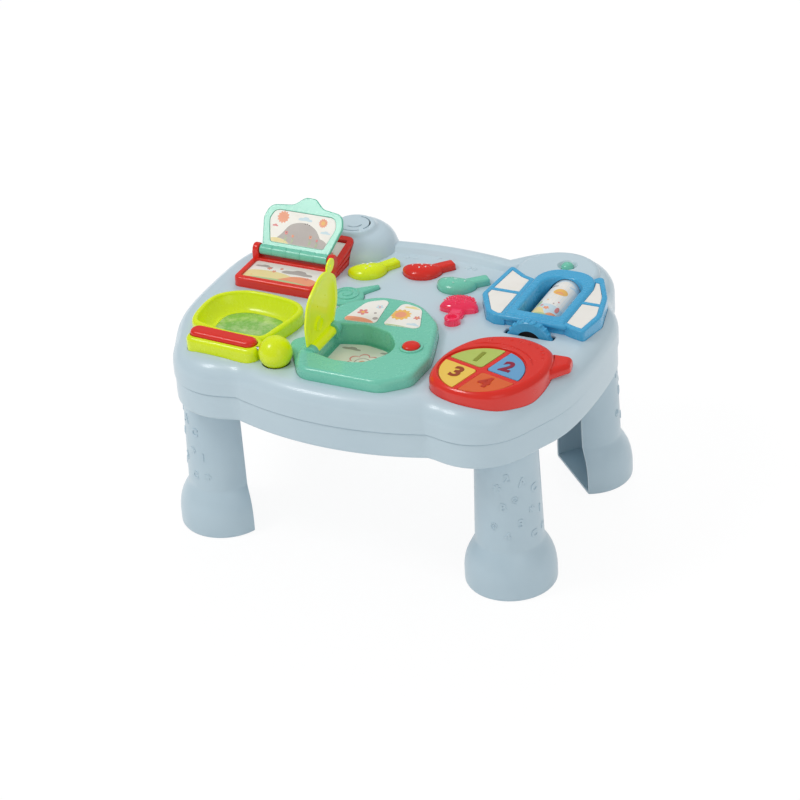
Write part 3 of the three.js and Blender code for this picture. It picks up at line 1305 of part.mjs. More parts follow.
function doorLid() {
  const outline = insetOutline(wellOutline, LID.clearance);
  const lidX = LID.pivotInset;
  const bottom = LID.pivotDrop - LID.thickness;
  const middle = outline.reduce((sum, p) => sum.add(p), new THREE.Vector2()).divideScalar(outline.length);
  const drawnIn = (share) => outline.map((p) => p.clone().sub(middle).multiplyScalar(share).add(middle));
  const shell = loft([
    ringAt(outline, bottom),
    ringAt(outline, LID.pivotDrop),
    ringAt(drawnIn(LID.dishShare), LID.pivotDrop + LID.crown * LID.crownStartShare),
    ringAt(drawnIn(LID.crownShare), LID.pivotDrop + LID.crown),
  ]);
  const dish = loft([
    ringAt(drawnIn(LID.dishShare), bottom - OVERRUN),
    ringAt(drawnIn(LID.dishShare), bottom + LID.dish * LID.dishStartShare),
    ringAt(drawnIn(LID.crownShare), bottom + LID.dish),
  ]);
  const barrelHalf = LID.barrelLength / 2;
  const barrel = rodY(LID.barrelRadius, -barrelHalf, barrelHalf, 0, 0, 24);
  const bore = rodY(LID.pinRadius + FIT, -barrelHalf - OVERRUN, barrelHalf + OVERRUN, 0, 0, 12);
  const web = prism(
    rectangle(0, lidX + LID.clearance * 3, -barrelHalf, barrelHalf), bottom, LID.pivotDrop,
  );
  const tabTop = LID.pivotDrop + LID.crown * LID.tabRiseShare;
  const tab = rounded(circle(LID.tabRadius, LID.tabX, LID.tabY), LID.pivotDrop + KEY_GAP, tabTop, LID.crown / 4)
    .subtract(prism(drawnIn(LID.dishShare), 0, tabTop * 2));
  const lugRoom = rodY(LID.lugRadius + KEY_GAP, barrelHalf, barrelHalf + LID.lugWidth + KEY_GAP * 3, 0, 0);
  return shell.add(tab)
    .subtract(dish)
    .translate([lidX, 0, 0])
    .subtract(lugRoom.add(lugRoom.mirror([0, 1, 0])))
    .add(barrel.add(web).subtract(bore));
}

function buildDoor() {
  const group = addGroup({ x: 0, y: 0 });
  addPart(group, 'door_box', doorBox(), LOOK.mint);
  const top = SHELL.top + DOOR.rise;
  const floorZ = top - WELL.depth;
  const card = prism(insetOutline(wellOutline, FIT + WELL.ribRadius * 2), floorZ + FIT, floorZ + FIT + WELL.cardThickness);
  addPart(addGroup(wellPlace), 'well_picture', card, LOOK.card);
  ['left_panel', 'right_panel'].forEach((name, i) => {
    const face = prism(panelOutlines[i], top - PANEL.depth, top - PANEL.depth + PANEL.thickness);
    addPart(addGroup(DOOR), name, face, LOOK.card);
  });
  const pinHalf = LID.barrelLength / 2 + KEY_GAP + LID.lugWidth - DOOR.wall - FIT;
  const pin = rodY(LID.pinRadius, WELL.y - pinHalf, WELL.y + pinHalf, pivotX, pivotZ, 12);
  addPart(group, 'lid_hinge_pin', pin, LOOK.steel);
  const lid = addPart(group, 'door_lid', doorLid(), LOOK.lime);
  lid.position.set(pivotX, WELL.y, pivotZ);
  lid.rotation.y = -THREE.MathUtils.degToRad(LID.openAngle);
  const button = domed(
    circle(LID_BUTTON.radius), top - DOOR.wall * 2, top + LID_BUTTON.ringRise, SHELL.top + LID_BUTTON.rise,
  );
  addPart(addGroup(buttonPlace), 'lid_button', button, LOOK.red);
}

// Press keys
function keyBody(outlines, crown) {
  const bottom = SHELL.top - KEY.stemDepth;
  const flanges = outlines.map((outline) => prism(
    insetOutline(outline, -KEY.flange), bottom, ROOF - FIT,
  ));
  const stems = outlines.map((outline) => prism(outline, bottom, SHELL.top + FIT));
  return together([...flanges, ...stems, crown]);
}

function mushroomKey(leanAngle) {
  const bottom = SHELL.top - FIT;
  const stemOutline = leaning(mushroomStemOutline, leanAngle);
  const cap = domed(capOutline, bottom, SHELL.top + MUSHROOM.rise / 4, SHELL.top + MUSHROOM.rise);
  const stem = rounded(stemOutline, bottom, SHELL.top + MUSHROOM.stemRise, MUSHROOM.stemWidth / 4);
  return keyBody([capOutline, stemOutline], together([cap, stem]));
}

function snailKey() {
  const bottom = SHELL.top - FIT;
  const body = domed(circle(SNAIL.radius), bottom, SHELL.top + SNAIL.rise / 3, SHELL.top + SNAIL.rise);
  const tail = rounded(snailTailOutline, bottom, SHELL.top + SNAIL.rise * SNAIL.tailRiseShare, SNAIL.tailTip / 2);
  const ringGeometry = new THREE.TorusGeometry(SNAIL.ringRadius, SNAIL.ringTube, 4, 14);
  const ring = solid(ringGeometry).translate([0, 0, SHELL.top + SNAIL.rise - SNAIL.ringTube / 3]);
  const coil = rounded(circle(SNAIL.coilRadius), bottom, SHELL.top + SNAIL.rise + SNAIL.ringTube / 2, SNAIL.ringTube);
  return keyBody([circle(SNAIL.radius), snailTailOutline], together([body, tail, ring, coil]));
}

function buildKeys() {
  addPart(addGroup(SNAIL), 'snail_key', snailKey(), LOOK.mint);
  for (const [colour, place] of Object.entries(MUSHROOM_PLACES)) {
    addPart(addGroup(place), `mushroom_key_${colour}`, mushroomKey(place.leanAngle), LOOK[colour]);
  }
  const face = SHELL.top + PAD.rise;
  const floor = face - POWER.dimpleDepth;
  const button = domed(circle(POWER.radius), floor - POWER.stem, floor + POWER.dimpleDepth / 2, SHELL.top + POWER.rise);
  addPart(addGroup(POWER), 'power_button', button, LOOK.mint);
}

function buildLamp() {
  const bottom = SHELL.top - LAMP.depth;
  const cap = domed(lampOutline, bottom, SHELL.top + LAMP.rise / 4, SHELL.top + LAMP.rise, 3);
  const stem = rounded(lampStemOutline, bottom, SHELL.top + LAMP.stemRise, LAMP.stemWidth / 4);
  const knobPlace = { x: LAMP.knobX, y: LAMP.knobY };
  const knob = rounded(circle(LAMP.knobRadius), bottom, SHELL.top + LAMP.knobRise, LAMP.knobRadius / 4);
  const dent = prism(circle(LAMP.knobHole), SHELL.top + LAMP.knobRise / 2, SHELL.top + LAMP.rise);
  const hollow = inTable(
    prism(insetOutline(lampOutline, SHELL.wall), bottom - OVERRUN, SHELL.top + LAMP.rise / 4), LAMP,
  );
  const lamp = inTable(cap.add(stem), LAMP).add(inTable(knob.subtract(dent), knobPlace)).subtract(hollow);
  addPart(table, 'mushroom_lamp', lamp, LOOK.lampRed);
  const ledTop = SHELL.top + LAMP.rise / 4 - FIT;
  const led = revolve([
    [0, ledTop - LED.length],
    [LED.flangeRadius, ledTop - LED.length],
    [LED.flangeRadius, ledTop - LED.length + LED.flangeLength],
    [LED.radius, ledTop - LED.length + LED.flangeLength],
    [LED.radius, ledTop - LED.radius],
    [LED.radius * LED.tipShare, ledTop - LED.radius * (1 - LED.tipShare)],
    [0, ledTop],
  ], 16);
  addPart(addGroup(LAMP), 'lamp_led', led, LOOK.card);
}

// Picture window
const axleZ = SHELL.top - DRUM.axisDrop;

// The two halves of a shutter's panes, drawn in by a gap from the shutter's frame and its crossbar
function paneHalves(shutter, gap, bottom, top) {
  const inner = insetOutline(shutter, WINDOW.paneFrame + gap);
  const heights = inner.map((p) => p.y);
  const [low, high] = [Math.min(...heights), Math.max(...heights)];
  const bar = WINDOW.muntin / 2 + gap;
  const wide = WINDOW.width * 2;
  const sheet = prism(inner, bottom, top);
  const band = (from, to) => prism(rectangle(-wide, wide, from, to), bottom - OVERRUN, top + OVERRUN);
  return [
    sheet.intersect(band(low - OVERRUN, (low + high) / 2 - bar)),
    sheet.intersect(band((low + high) / 2 + bar, high + OVERRUN)),
  ];
}

const paneFloor = SHELL.top + WINDOW.shutterRise - WINDOW.paneDepth;

function windowFrame() {
  const skirtZ = SHELL.top - WINDOW.skirt;
  const top = SHELL.top + WINDOW.rise;
  const shutterTop = SHELL.top + WINDOW.shutterRise;
  const frame = inTable(cover(windowOutline, skirtZ, top, WINDOW.edge, WINDOW.wall), WINDOW);
  const tube = inTable(prism(insetOutline(openingOutline, -WINDOW.wall), skirtZ, top - WINDOW.wall / 2), WINDOW);
  const opening = inTable(prism(openingOutline, skirtZ - OVERRUN, top + OVERRUN), WINDOW);
  const shutters = shutterOutlines.map((outline) => (
    inTable(rounded(outline, skirtZ, shutterTop, WINDOW.shutterEdge), WINDOW)
  ));
  const panes = shutterOutlines.flatMap((outline) => paneHalves(outline, 0, paneFloor, top + OVERRUN))
    .map((pane) => inTable(pane, WINDOW));
  const inside = inTable(
    prism(insetOutline(windowOutline, WINDOW.wall), skirtZ - OVERRUN, top - WINDOW.edge), WINDOW,
  );
  const bracketAt = (from, to) => prism(
    rectangle(WINDOW.x - BRACKET.width / 2, WINDOW.x + BRACKET.width / 2, from, to),
    axleZ - BRACKET.drop, top - WINDOW.wall / 2,
  );
  const frontEnd = DRUM.frontY - BRACKET.endGap;
  const backEnd = DRUM.backY + BRACKET.endGap;
  const brackets = [
    bracketAt(frontEnd - BRACKET.thickness, frontEnd),
    bracketAt(backEnd, backEnd + BRACKET.thickness),
  ];
  const drumRoom = rodY(
    DRUM.radius + DRUM.clearance, DRUM.frontY - BRACKET.endGap, DRUM.backY + BRACKET.endGap, WINDOW.x, axleZ,
    DRUM.sides,
  );
  const axleBore = rodY(DRUM.axleRadius + BRACKET.axleFit, 0, WINDOW.backY - WINDOW.wall, WINDOW.x, axleZ, 16);
  return together([frame, tube, ...shutters])
    .subtract(inside.subtract(tube))
    .add(together(brackets))
    .subtract(together([opening, drumRoom, axleBore, ...panes]));
}

function thumbWheel() {
  const half = THUMB.thickness / 2;
  const count = THUMB.teeth * 3;
  const outline = Array.from({ length: count }, (_, i) => {
    const angle = (i / count) * Math.PI * 2;
    const proud = i % 3 < 2 ? 0 : THUMB.toothDepth;
    const radius = THUMB.radius - proud;
    return new THREE.Vector2(radius * Math.cos(angle), radius * Math.sin(angle));
  });
  const disc = prism(outline, -half, half);
  const hub = prism(circle(THUMB.hubRadius, 0, 0, 24), half - THUMB.hubDepth, half + OVERRUN);
  const bore = rod(DRUM.axleRadius + FIT, -half - OVERRUN, half + OVERRUN, 16);
  return disc.subtract(hub).subtract(bore).rotate([90, 0, 0]);
}

function buildWindow() {
  addPart(table, 'window_frame', windowFrame(), LOOK.blue);
  ['left', 'right'].forEach((side, i) => {
    const bottom = paneFloor + FIT;
    const [front, back] = paneHalves(shutterOutlines[i], FIT, bottom, bottom + WINDOW.paneThickness);
    addPart(addGroup(WINDOW), `${side}_pane_front`, front, LOOK.card);
    addPart(addGroup(WINDOW), `${side}_pane_back`, back, LOOK.card);
  });
  const scroller = new THREE.Group();
  scroller.position.set(WINDOW.x, 0, axleZ);
  table.add(scroller);
  const bore = rodY(DRUM.axleRadius + FIT, 0, WINDOW.backY, 0, 0, 16);
  const drum = rodY(DRUM.radius, DRUM.frontY, DRUM.backY, 0, 0, DRUM.sides).subtract(bore);
  addPart(scroller, 'picture_drum', drum, LOOK.card);
  const wheel = addPart(scroller, 'thumb_wheel', thumbWheel(), LOOK.blue);
  wheel.position.y = THUMB.y;
  const axleFrom = THUMB.y - THUMB.thickness / 2 + THUMB.hubDepth / 2;
  const axleTo = DRUM.backY + BRACKET.endGap + BRACKET.thickness + FIT;
  addPart(scroller, 'roller_axle', rodY(DRUM.axleRadius, axleFrom, axleTo, 0, 0, 16), LOOK.steel);
}

// Number keypad
const keypadTop = SHELL.top + KEYPAD.rise;
const keypadFloor = SHELL.top - KEYPAD.skirt + KEYPAD.floorThickness;
const membraneTop = keypadFloor + FIT + KEYPAD.membraneThickness;

// One quarter of the dial, between the arms of the cross
function quadrantOutline(gap) {
  const arm = KEYPAD.crossWidth / 2 + gap;
  const radius = KEYPAD.dialRadius - gap;
  const start = Math.asin(arm / radius);
  const points = Array.from({ length: KEYPAD.arcPoints }, (_, i) => {
    const share = i / (KEYPAD.arcPoints - 1);
    const angle = start + share * (Math.PI / 2 - start * 2);
    const corner = share === 0 || share === 1 ? KEYPAD.keyCorner / 2 : 0;
    return [radius * Math.cos(angle), radius * Math.sin(angle), corner];
  });
  return fillet([[arm, arm, KEYPAD.keyCorner], ...points]);
}

const NUMBER_KEYS = [
  { name: 'number_key_1', turnAngle: 75, look: LOOK.leafGreen },
  { name: 'number_key_2', turnAngle: -15, look: LOOK.skyBlue },
  { name: 'number_key_4', turnAngle: -105, look: LOOK.orange },
  { name: 'number_key_3', turnAngle: 165, look: LOOK.lemon },
];

function keypadHousing() {
  const skirtZ = SHELL.top - KEYPAD.skirt;
  const body = inTable(rounded(keypadOutline, skirtZ, keypadTop, KEYPAD.edge), keypadPlace);
  const nub = inTable(
    rounded(nubOutline, skirtZ, SHELL.top + KEYPAD.nubRise, KEYPAD.nubRadius / 2), keypadPlace,
  );
  const room = inTable(prism(circle(KEYPAD.dialRadius + KEYPAD.keyFlange + FIT, 0, 0, 24), keypadFloor,
    keypadTop - KEYPAD.dialDepth - KEYPAD.wall), dialPlace);
  const recess = inTable(
    prism(circle(KEYPAD.dialRadius + KEYPAD.crossWidth / 4, 0, 0, 24), keypadTop - KEYPAD.dialDepth, keypadTop + OVERRUN),
    dialPlace,
  );
  const openings = NUMBER_KEYS.map(({ turnAngle }) => inTable(
    prism(quadrantOutline(0), keypadFloor + FIT, keypadTop + OVERRUN), { ...dialPlace, turnAngle },
  ));
  return body.add(nub).subtract(together([room, recess, ...openings]));
}

function buildKeypad() {
  addPart(table, 'keypad_housing', keypadHousing(), LOOK.red);
  const membrane = prism(
    circle(KEYPAD.dialRadius + KEYPAD.keyFlange - KEYPAD.membraneInset + FIT * 2, 0, 0, 36),
    keypadFloor + FIT, membraneTop,
  );
  addPart(addGroup(dialPlace), 'keypad_membrane', membrane, LOOK.rubber);
  const face = keypadTop - KEYPAD.dialDepth;
  const keyBottom = membraneTop + KEYPAD.travel + FIT;
  for (const { name, turnAngle, look } of NUMBER_KEYS) {
    const outline = quadrantOutline(KEY_GAP);
    const flange = insetOutline(outline, -KEYPAD.keyFlange + KEY_GAP);
    const body = rounded(outline, keyBottom, face + KEYPAD.keyProud, KEYPAD.keyProud)
      .add(prism(flange, keyBottom, face - KEYPAD.wall - FIT));
    addPart(addGroup({ ...dialPlace, turnAngle }), name, body, look);
  }
}

buildTable();
buildBay();
buildBook();
buildBasin();
buildDoor();
buildKeys();
buildLamp();
buildWindow();
buildKeypad();

export default table;
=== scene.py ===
# Looks of a baby activity table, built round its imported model.
# Forms are drawn in millimetres, like the model, and become metres when a piece is shown.
import math

import bmesh
import bpy
import numpy as np
from mathutils import Matrix, Vector


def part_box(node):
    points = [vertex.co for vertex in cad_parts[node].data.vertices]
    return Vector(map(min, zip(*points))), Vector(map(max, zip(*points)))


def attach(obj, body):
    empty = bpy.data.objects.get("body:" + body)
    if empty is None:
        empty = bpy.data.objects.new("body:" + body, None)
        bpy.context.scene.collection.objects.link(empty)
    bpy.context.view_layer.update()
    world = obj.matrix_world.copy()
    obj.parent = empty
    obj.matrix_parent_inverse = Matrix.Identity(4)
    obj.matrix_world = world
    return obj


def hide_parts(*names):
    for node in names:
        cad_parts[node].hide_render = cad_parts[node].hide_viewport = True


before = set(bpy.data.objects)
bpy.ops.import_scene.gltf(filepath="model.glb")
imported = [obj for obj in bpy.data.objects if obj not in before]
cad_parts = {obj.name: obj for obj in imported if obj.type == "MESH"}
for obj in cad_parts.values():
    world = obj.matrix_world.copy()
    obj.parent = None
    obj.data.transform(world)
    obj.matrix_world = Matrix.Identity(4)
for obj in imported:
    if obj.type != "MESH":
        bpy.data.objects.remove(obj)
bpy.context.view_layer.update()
millimetre = 0.001
fitGap = 0.3  # round a piece that sits in another
keyGap = 0.5  # round a key that moves
overrun = 2  # how far a cutter passes the face that it opens
sharpAngle = 33
print("frame loaded:", len(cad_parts), "nodes")


# Outlines: arrays of points, anticlockwise as seen from above


def unit(vectors):
    return vectors / np.maximum(np.linalg.norm(vectors, axis=-1, keepdims=True), 1e-9)


def crossing(a, b, c, d):
    along, across = b - a, d - c
    turn = along[0] * across[1] - along[1] * across[0]
    if abs(turn) < np.linalg.norm(along) * np.linalg.norm(across) * 0.02:
        return (b + c) / 2
    gap = c - a
    return a + along * (gap[0] * across[1] - gap[1] * across[0]) / turn


# Moves each point inwards; where the inset is larger than a corner's radius, its points meet
def inset(outline, amount):
    count = len(outline)
    incoming = unit(outline - np.roll(outline, 1, 0))
    outgoing = unit(np.roll(outline, -1, 0) - outline)
    bisector = unit(incoming + outgoing)
    inward = np.stack([-bisector[:, 1], bisector[:, 0]], 1)
    stretch = np.maximum((bisector * outgoing).sum(1), 0.5)
    amounts = np.broadcast_to(np.asarray(amount, float), count)
    moved = outline + inward * (amounts / stretch)[:, None]
    edges = np.roll(outline, -1, 0) - outline
    keeps = ((np.roll(moved, -1, 0) - moved) * edges).sum(1) > 0
    for i in range(count):
        if not keeps[i] or keeps[(i + 1) % count]:
            continue
        last = i + 1
        while not keeps[last % count] and last < i + count:
            last += 1
        ends = [moved[k % count].copy() for k in (i, i + 1, last, last + 1)]
        for k in range(i + 1, last + 1):
            moved[k % count] = crossing(*ends)
    return moved


def fillet(corners, arcStep=math.radians(8)):
    points = []
    for i, (x, y, wanted) in enumerate(corners):
        corner = np.array([x, y], float)
        back = np.array(corners[i - 1][:2], float) - corner
        ahead = np.array(corners[(i + 1) % len(corners)][:2], float) - corner
        room = min(np.linalg.norm(back), np.linalg.norm(ahead)) / 2
        back, ahead = unit(back), unit(ahead)
        half = math.acos(max(-1, min(1, float(back @ ahead)))) / 2
        radius = min(wanted, room * math.tan(half))
        bend = math.pi - half * 2
        if radius < 0.05 or bend < 0.03:
            points.append(corner)
            continue
        middle = corner + unit(back + ahead) * radius / math.sin(half)
        start = corner + back * radius / math.tan(half) - middle
        turn = math.copysign(bend, ahead[0] * back[1] - ahead[1] * back[0])
        steps = max(2, round(bend / arcStep))
        for k in range(steps + 1):
            c, s = math.cos(turn * k / steps), math.sin(turn * k / steps)
            points.append(middle + np.array([c * start[0] - s * start[1], s * start[0] + c * start[1]]))
    kept = [p for p, q in zip(points, points[1:] + points[:1]) if np.linalg.norm(p - q) > 0.05]
    return np.array(kept)


def cornersOf(shares, width, depth, corner):
    return [(x * width, y * depth, r * corner) for x, y, r in shares]


def curveThrough(shares, width=1, depth=1, each=10, closed=True):
    points = np.array(shares, float) * [width, depth]
    count = len(points)
    line = []
    for i in range(count if closed else count - 1):
        if closed:
            p0, p1, p2, p3 = (points[(i + k) % count] for k in (-1, 0, 1, 2))
        else:
            p1, p2 = points[i], points[i + 1]
            p0 = points[i - 1] if i else 2 * p1 - p2
            p3 = points[i + 2] if i + 2 < count else 2 * p2 - p1
        d0, d1, d2 = (max(np.linalg.norm(b - a) ** 0.5, 1e-4) for a, b in ((p0, p1), (p1, p2), (p2, p3)))
        t1 = ((p1 - p0) / d0 - (p2 - p0) / (d0 + d1) + (p2 - p1) / d1) * d1
        t2 = ((p2 - p1) / d1 - (p3 - p1) / (d1 + d2) + (p3 - p2) / d2) * d1
        for t in np.arange(each) / each:
            line.append(p1 + t1 * t + (3 * (p2 - p1) - 2 * t1 - t2) * t ** 2 + (2 * (p1 - p2) + t1 + t2) * t ** 3)
    if not closed:
        line.append(points[-1])
    return np.array(line)


def polar(angles, radius, x=0, y=0):
    return np.stack([x + radius * np.cos(angles), y + radius * np.sin(angles)], 1)


def circle(radius, x=0, y=0, sides=64):
    return polar(np.arange(sides) / sides * math.tau, radius, x, y)


def rectangle(x0, x1, y0, y1, corner=0):
    return fillet([(x0, y0, corner), (x1, y0, corner), (x1, y1, corner), (x0, y1, corner)])


def centred(width, depth, corner):
    return rectangle(-width / 2, width / 2, -depth / 2, depth / 2, corner)


def leaning(outline, degrees):
    c, s = math.cos(math.radians(degrees)), math.sin(math.radians(degrees))
    return outline @ np.array([[c, s], [-s, c]])


def drawnIn(outline, share):
    middle = outline.mean(0)
    return (outline - middle) * share + middle


# Closed forms


def meshOf(points, faces):
    mesh = bpy.data.meshes.new("form")
    mesh.from_pydata([tuple(p) for p in np.asarray(points, float).tolist()], [], faces)
    work = bmesh.new()
    work.from_mesh(mesh)
    bmesh.ops.remove_doubles(work, verts=work.verts, dist=0.01)
    bmesh.ops.dissolve_degenerate(work, dist=0.004, edges=work.edges)
    bmesh.ops.recalc_face_normals(work, faces=work.faces)
    work.to_mesh(mesh)
    work.free()
    return mesh


def ring(outline, z):
    heights = np.broadcast_to(np.asarray(z, float), len(outline))
    return np.concatenate([outline, heights[:, None]], 1)


def loft(rings):
    count = len(rings[0])
    faces = [
        (low + i, low + (i + 1) % count, low + count + (i + 1) % count, low + count + i)
        for low in range(0, (len(rings) - 1) * count, count) for i in range(count)
    ]
    last = (len(rings) - 1) * count
    faces.append(tuple(range(count))[::-1])
    faces.append(tuple(range(last, last + count)))
    return meshOf(np.concatenate(rings), faces)


def prism(outline, bottom, top):
    return loft([ring(outline, bottom), ring(outline, top)])


def quarter(steps):
    return [step / steps * math.pi / 2 for step in range(steps + 1)]


# A form from its outline and (inset, height) steps, from the lowest up
def profiled(outline, steps):
    return loft([ring(inset(outline, amount), z) for amount, z in steps])


# The steps of a rounded upper or lower edge; a negative way widens it
def roundOver(edge, top, steps=6, way=1):
    return [(way * edge * (1 - math.cos(a)), top - edge * (1 - math.sin(a))) for a in quarter(steps)]


def roundUnder(edge, bottom, steps):
    return [(edge * (1 - math.sin(a)), bottom + edge * (1 - math.cos(a))) for a in quarter(steps)]


def rounded(outline, bottom, top, edge, steps=6):
    return profiled(outline, [(0, bottom)] + roundOver(edge, top, steps))


# A cutter whose mouth widens, so that the hole's lip is rounded
def lipped(outline, bottom, top, lip, steps=4):
    return profiled(outline, [(0, bottom)] + roundOver(lip, top, steps, -1) + [(-lip * 1.4, top + overrun)])


def pillow(outline, bottom, top, edge, steps=4):
    return profiled(outline, roundUnder(edge, bottom, steps) + roundOver(edge, top, steps))


def domed(outline, bottom, shoulder, top, steps=12):
    rings = [ring(outline, bottom)]
    for a in quarter(steps)[:-1]:
        rings.append(ring(drawnIn(outline, math.cos(a)), shoulder + (top - shoulder) * math.sin(a)))
    rings.append(ring(drawnIn(outline, 0.02), top))
    return loft(rings)


def revolve(profile, sides=96):
    return loft([ring(circle(max(radius, 1e-4), sides=sides), height) for radius, height in profile])


def rod(radius, bottom, top, sides=48):
    return prism(circle(radius, sides=sides), bottom, top)


def turnedBy(mesh, *steps):
    for step in steps:
        mesh.transform(step)
    return mesh


def rotation(angle, axis):
    return Matrix.Rotation(angle, 4, axis)


def moved(mesh, x=0, y=0, z=0, degrees=0):
    return turnedBy(mesh, Matrix.Translation((x, y, z)) @ rotation(math.radians(degrees), "Z"))


def placed(mesh, place):
    return moved(mesh, place["x"], place["y"], 0, place.get("turn", 0))


def rodAlong(axis, radius, start, end, a, b, sides=48, edge=0):
    mesh = rod(radius, start, end, sides)
    if edge:
        mesh = softened(mesh, edge)
    place, way = ((0, a, b), rotation(math.pi / 2, "Y")) if axis == "X" else ((a, 0, b), rotation(-math.pi / 2, "X"))
    return turnedBy(mesh, Matrix.Translation(place) @ way)


# Extrudes a side view, given as (y, z) points, along X
def sideProfile(points, width):
    mesh = prism(fillet([(y, z, 0) for y, z in points]), -width / 2, width / 2)
    return turnedBy(mesh, Matrix(((0, 0, 1, 0), (1, 0, 0, 0), (0, 1, 0, 0), (0, 0, 0, 1))))


def sphere(radius, sides=48):
    angles = [math.pi * k / (sides // 2) - math.pi / 2 for k in range(sides // 2 + 1)]
    return revolve([(radius * math.cos(a), radius * math.sin(a)) for a in angles], sides)


# A round bar along a line of points
def tube(points, radius, sides=12):
    points = np.array(points, float)
    ahead = unit(np.gradient(points, axis=0))
    side = unit(np.cross(ahead, [0, 0, 1]))
    up = np.cross(side, ahead)
    rings = []
    for share, (p, s, u) in zip(np.linspace(0, 1, len(points)), zip(points, side, up)):
        r = radius * min(1, 0.35 + 9 * min(share, 1 - share))
        angles = np.arange(sides) / sides * math.tau
        rings.append(np.array([p + r * (math.cos(a) * s + math.sin(a) * u) for a in angles]))
    return loft(rings)


def held(data, name="work"):
    thing = bpy.data.objects.new(name, data)
    bpy.context.scene.collection.objects.link(thing)
    return thing


def worked(thing, extra=()):
    graph = bpy.context.evaluated_depsgraph_get()
    mesh = bpy.data.meshes.new_from_object(thing.evaluated_get(graph))
    for old in (thing, *extra):
        bpy.data.objects.remove(old)
    return mesh


def combined(base, others, operation):
    body = held(base)
    tools = [held(mesh) for mesh in others]
    for tool in tools:
        step = body.modifiers.new(operation, "BOOLEAN")
        step.operation = operation
        step.object = tool
        step.solver = "MANIFOLD"
    return worked(body, tools)


def joined(base, *others):
    return combined(base, others, "UNION")


def without(base, *others):
    return combined(base, others, "DIFFERENCE")


def within(base, *others):
    return combined(base, others, "INTERSECT")


def softened(mesh, width, segments=2, degrees=40):
    body = held(mesh)
    step = body.modifiers.new("soften", "BEVEL")
    step.width = width
    step.segments = segments
    step.limit_method = "ANGLE"
    step.angle_limit = math.radians(degrees)
    return worked(body)


# Cuts a flat form into strips across x and bends it: bend gives each point's new place
def bent(mesh, cuts, bend, closed=False):
    work = bmesh.new()
    work.from_mesh(mesh)
    for x in cuts:
        geometry = [*work.verts, *work.edges, *work.faces]
        bmesh.ops.bisect_plane(work, geom=geometry, plane_co=(x, 0, 0), plane_no=(1, 0, 0))
    for vert in work.verts:
        radius, around, height = bend(vert.co)
        vert.co = (radius * math.cos(around), radius * math.sin(around), height)
    if closed:
        bmesh.ops.recalc_face_normals(work, faces=work.faces)
    work.to_mesh(mesh)
    work.free()
    return mesh


# Finishes


def linear(code):
    parts = [int(code[i:i + 2], 16) / 255 for i in (0, 2, 4)]
    return (*[c / 12.92 if c <= 0.04045 else ((c + 0.055) / 1.055) ** 2.4 for c in parts], 1)


def newTree(name, kind, inputs, outputs):
    tree = bpy.data.node_groups.new(name, kind)
    for way, rows in (("INPUT", inputs), ("OUTPUT", outputs)):
        for label, sort, *value in rows:
            socket = tree.interface.new_socket(name=label, in_out=way, socket_type="NodeSocket" + sort)
            if value:
                socket.default_value = value[0]
    return tree, tree.nodes.new("NodeGroupInput").outputs, tree.nodes.new("NodeGroupOutput")


# Gives a node's inputs their values, or links them where the value is a socket
def fill(tree, node, values):
    for label, value in values.items():
        if isinstance(value, bpy.types.NodeSocket):
            tree.links.new(value, node.inputs[label])
        else:
            node.inputs[label].default_value = value


def added(tree, kind, values=None, **settings):
    node = tree.nodes.new(kind)
    for label, value in settings.items():
        setattr(node, label, value)
    fill(tree, node, values or {})
    return node.outputs


def noise(tree, place, scale, detail, rough):
    return added(tree, "ShaderNodeTexNoise", {"Vector": place, "Scale": scale, "Detail": detail, "Roughness": rough})["Fac"]


def calc(tree, operation, *values):
    return added(tree, "ShaderNodeMath", dict(enumerate((*values, 0.0, 0.0)[:3])), operation=operation)[0]


def mixed(tree, share, a, b):
    return added(tree, "ShaderNodeMix", {"Factor": share, "A": a, "B": b}, data_type="RGBA")["Result"]


moulding = {"patchStart": 0.42, "patchSoftness": 0.1, "patchStrength": 4.0, "smearScale": 6.0, "smearGloss": 0.14,
            "grainShare": 0.35, "bump": 0.00006, "bumpStrength": 0.5, "coatRoughness": 0.08, "bending": 1.48}


# Soft patches in colour and gloss, and the fine grain of a moulded surface
def buildMouldedSurface():
    tree, given, end = newTree("moulded surface", "ShaderNodeTree", [
        ("Colour", "Color", (1, 1, 1, 1)), ("Shade", "Color", (0, 0, 0, 1)), ("Variation", "Float", 0.1),
        ("Roughness", "Float", 0.3), ("Patch Scale", "Float", 14), ("Grain Scale", "Float", 1400)],
        [("Colour", "Color"), ("Roughness", "Float"), ("Height", "Float")])
    place = added(tree, "ShaderNodeTexCoord")["Object"]
    patches = noise(tree, place, given["Patch Scale"], 3, 0.6)
    grain = noise(tree, place, given["Grain Scale"], 2, 0.6)
    smears = noise(tree, place, calc(tree, "MULTIPLY", given["Patch Scale"], moulding["smearScale"]), 4, 0.7)
    share = calc(tree, "SUBTRACT", patches, moulding["patchStart"])
    share = calc(tree, "SMOOTH_MAX", share, 0.0, moulding["patchSoftness"])
    share = calc(tree, "MULTIPLY", calc(tree, "MULTIPLY", share, given["Variation"]), moulding["patchStrength"])
    gloss = calc(tree, "MULTIPLY_ADD", smears, moulding["smearGloss"], -moulding["smearGloss"] / 2)
    grain = calc(tree, "MULTIPLY", grain, moulding["grainShare"])
    height = calc(tree, "ADD", grain, calc(tree, "MULTIPLY", smears, 1 - moulding["grainShare"]))
    fill(tree, end, {"Colour": mixed(tree, share, given["Colour"], given["Shade"]),
                     "Roughness": calc(tree, "ADD", gloss, given["Roughness"]), "Height": height})
    return tree


mouldedSurface = buildMouldedSurface()
finishes = {}


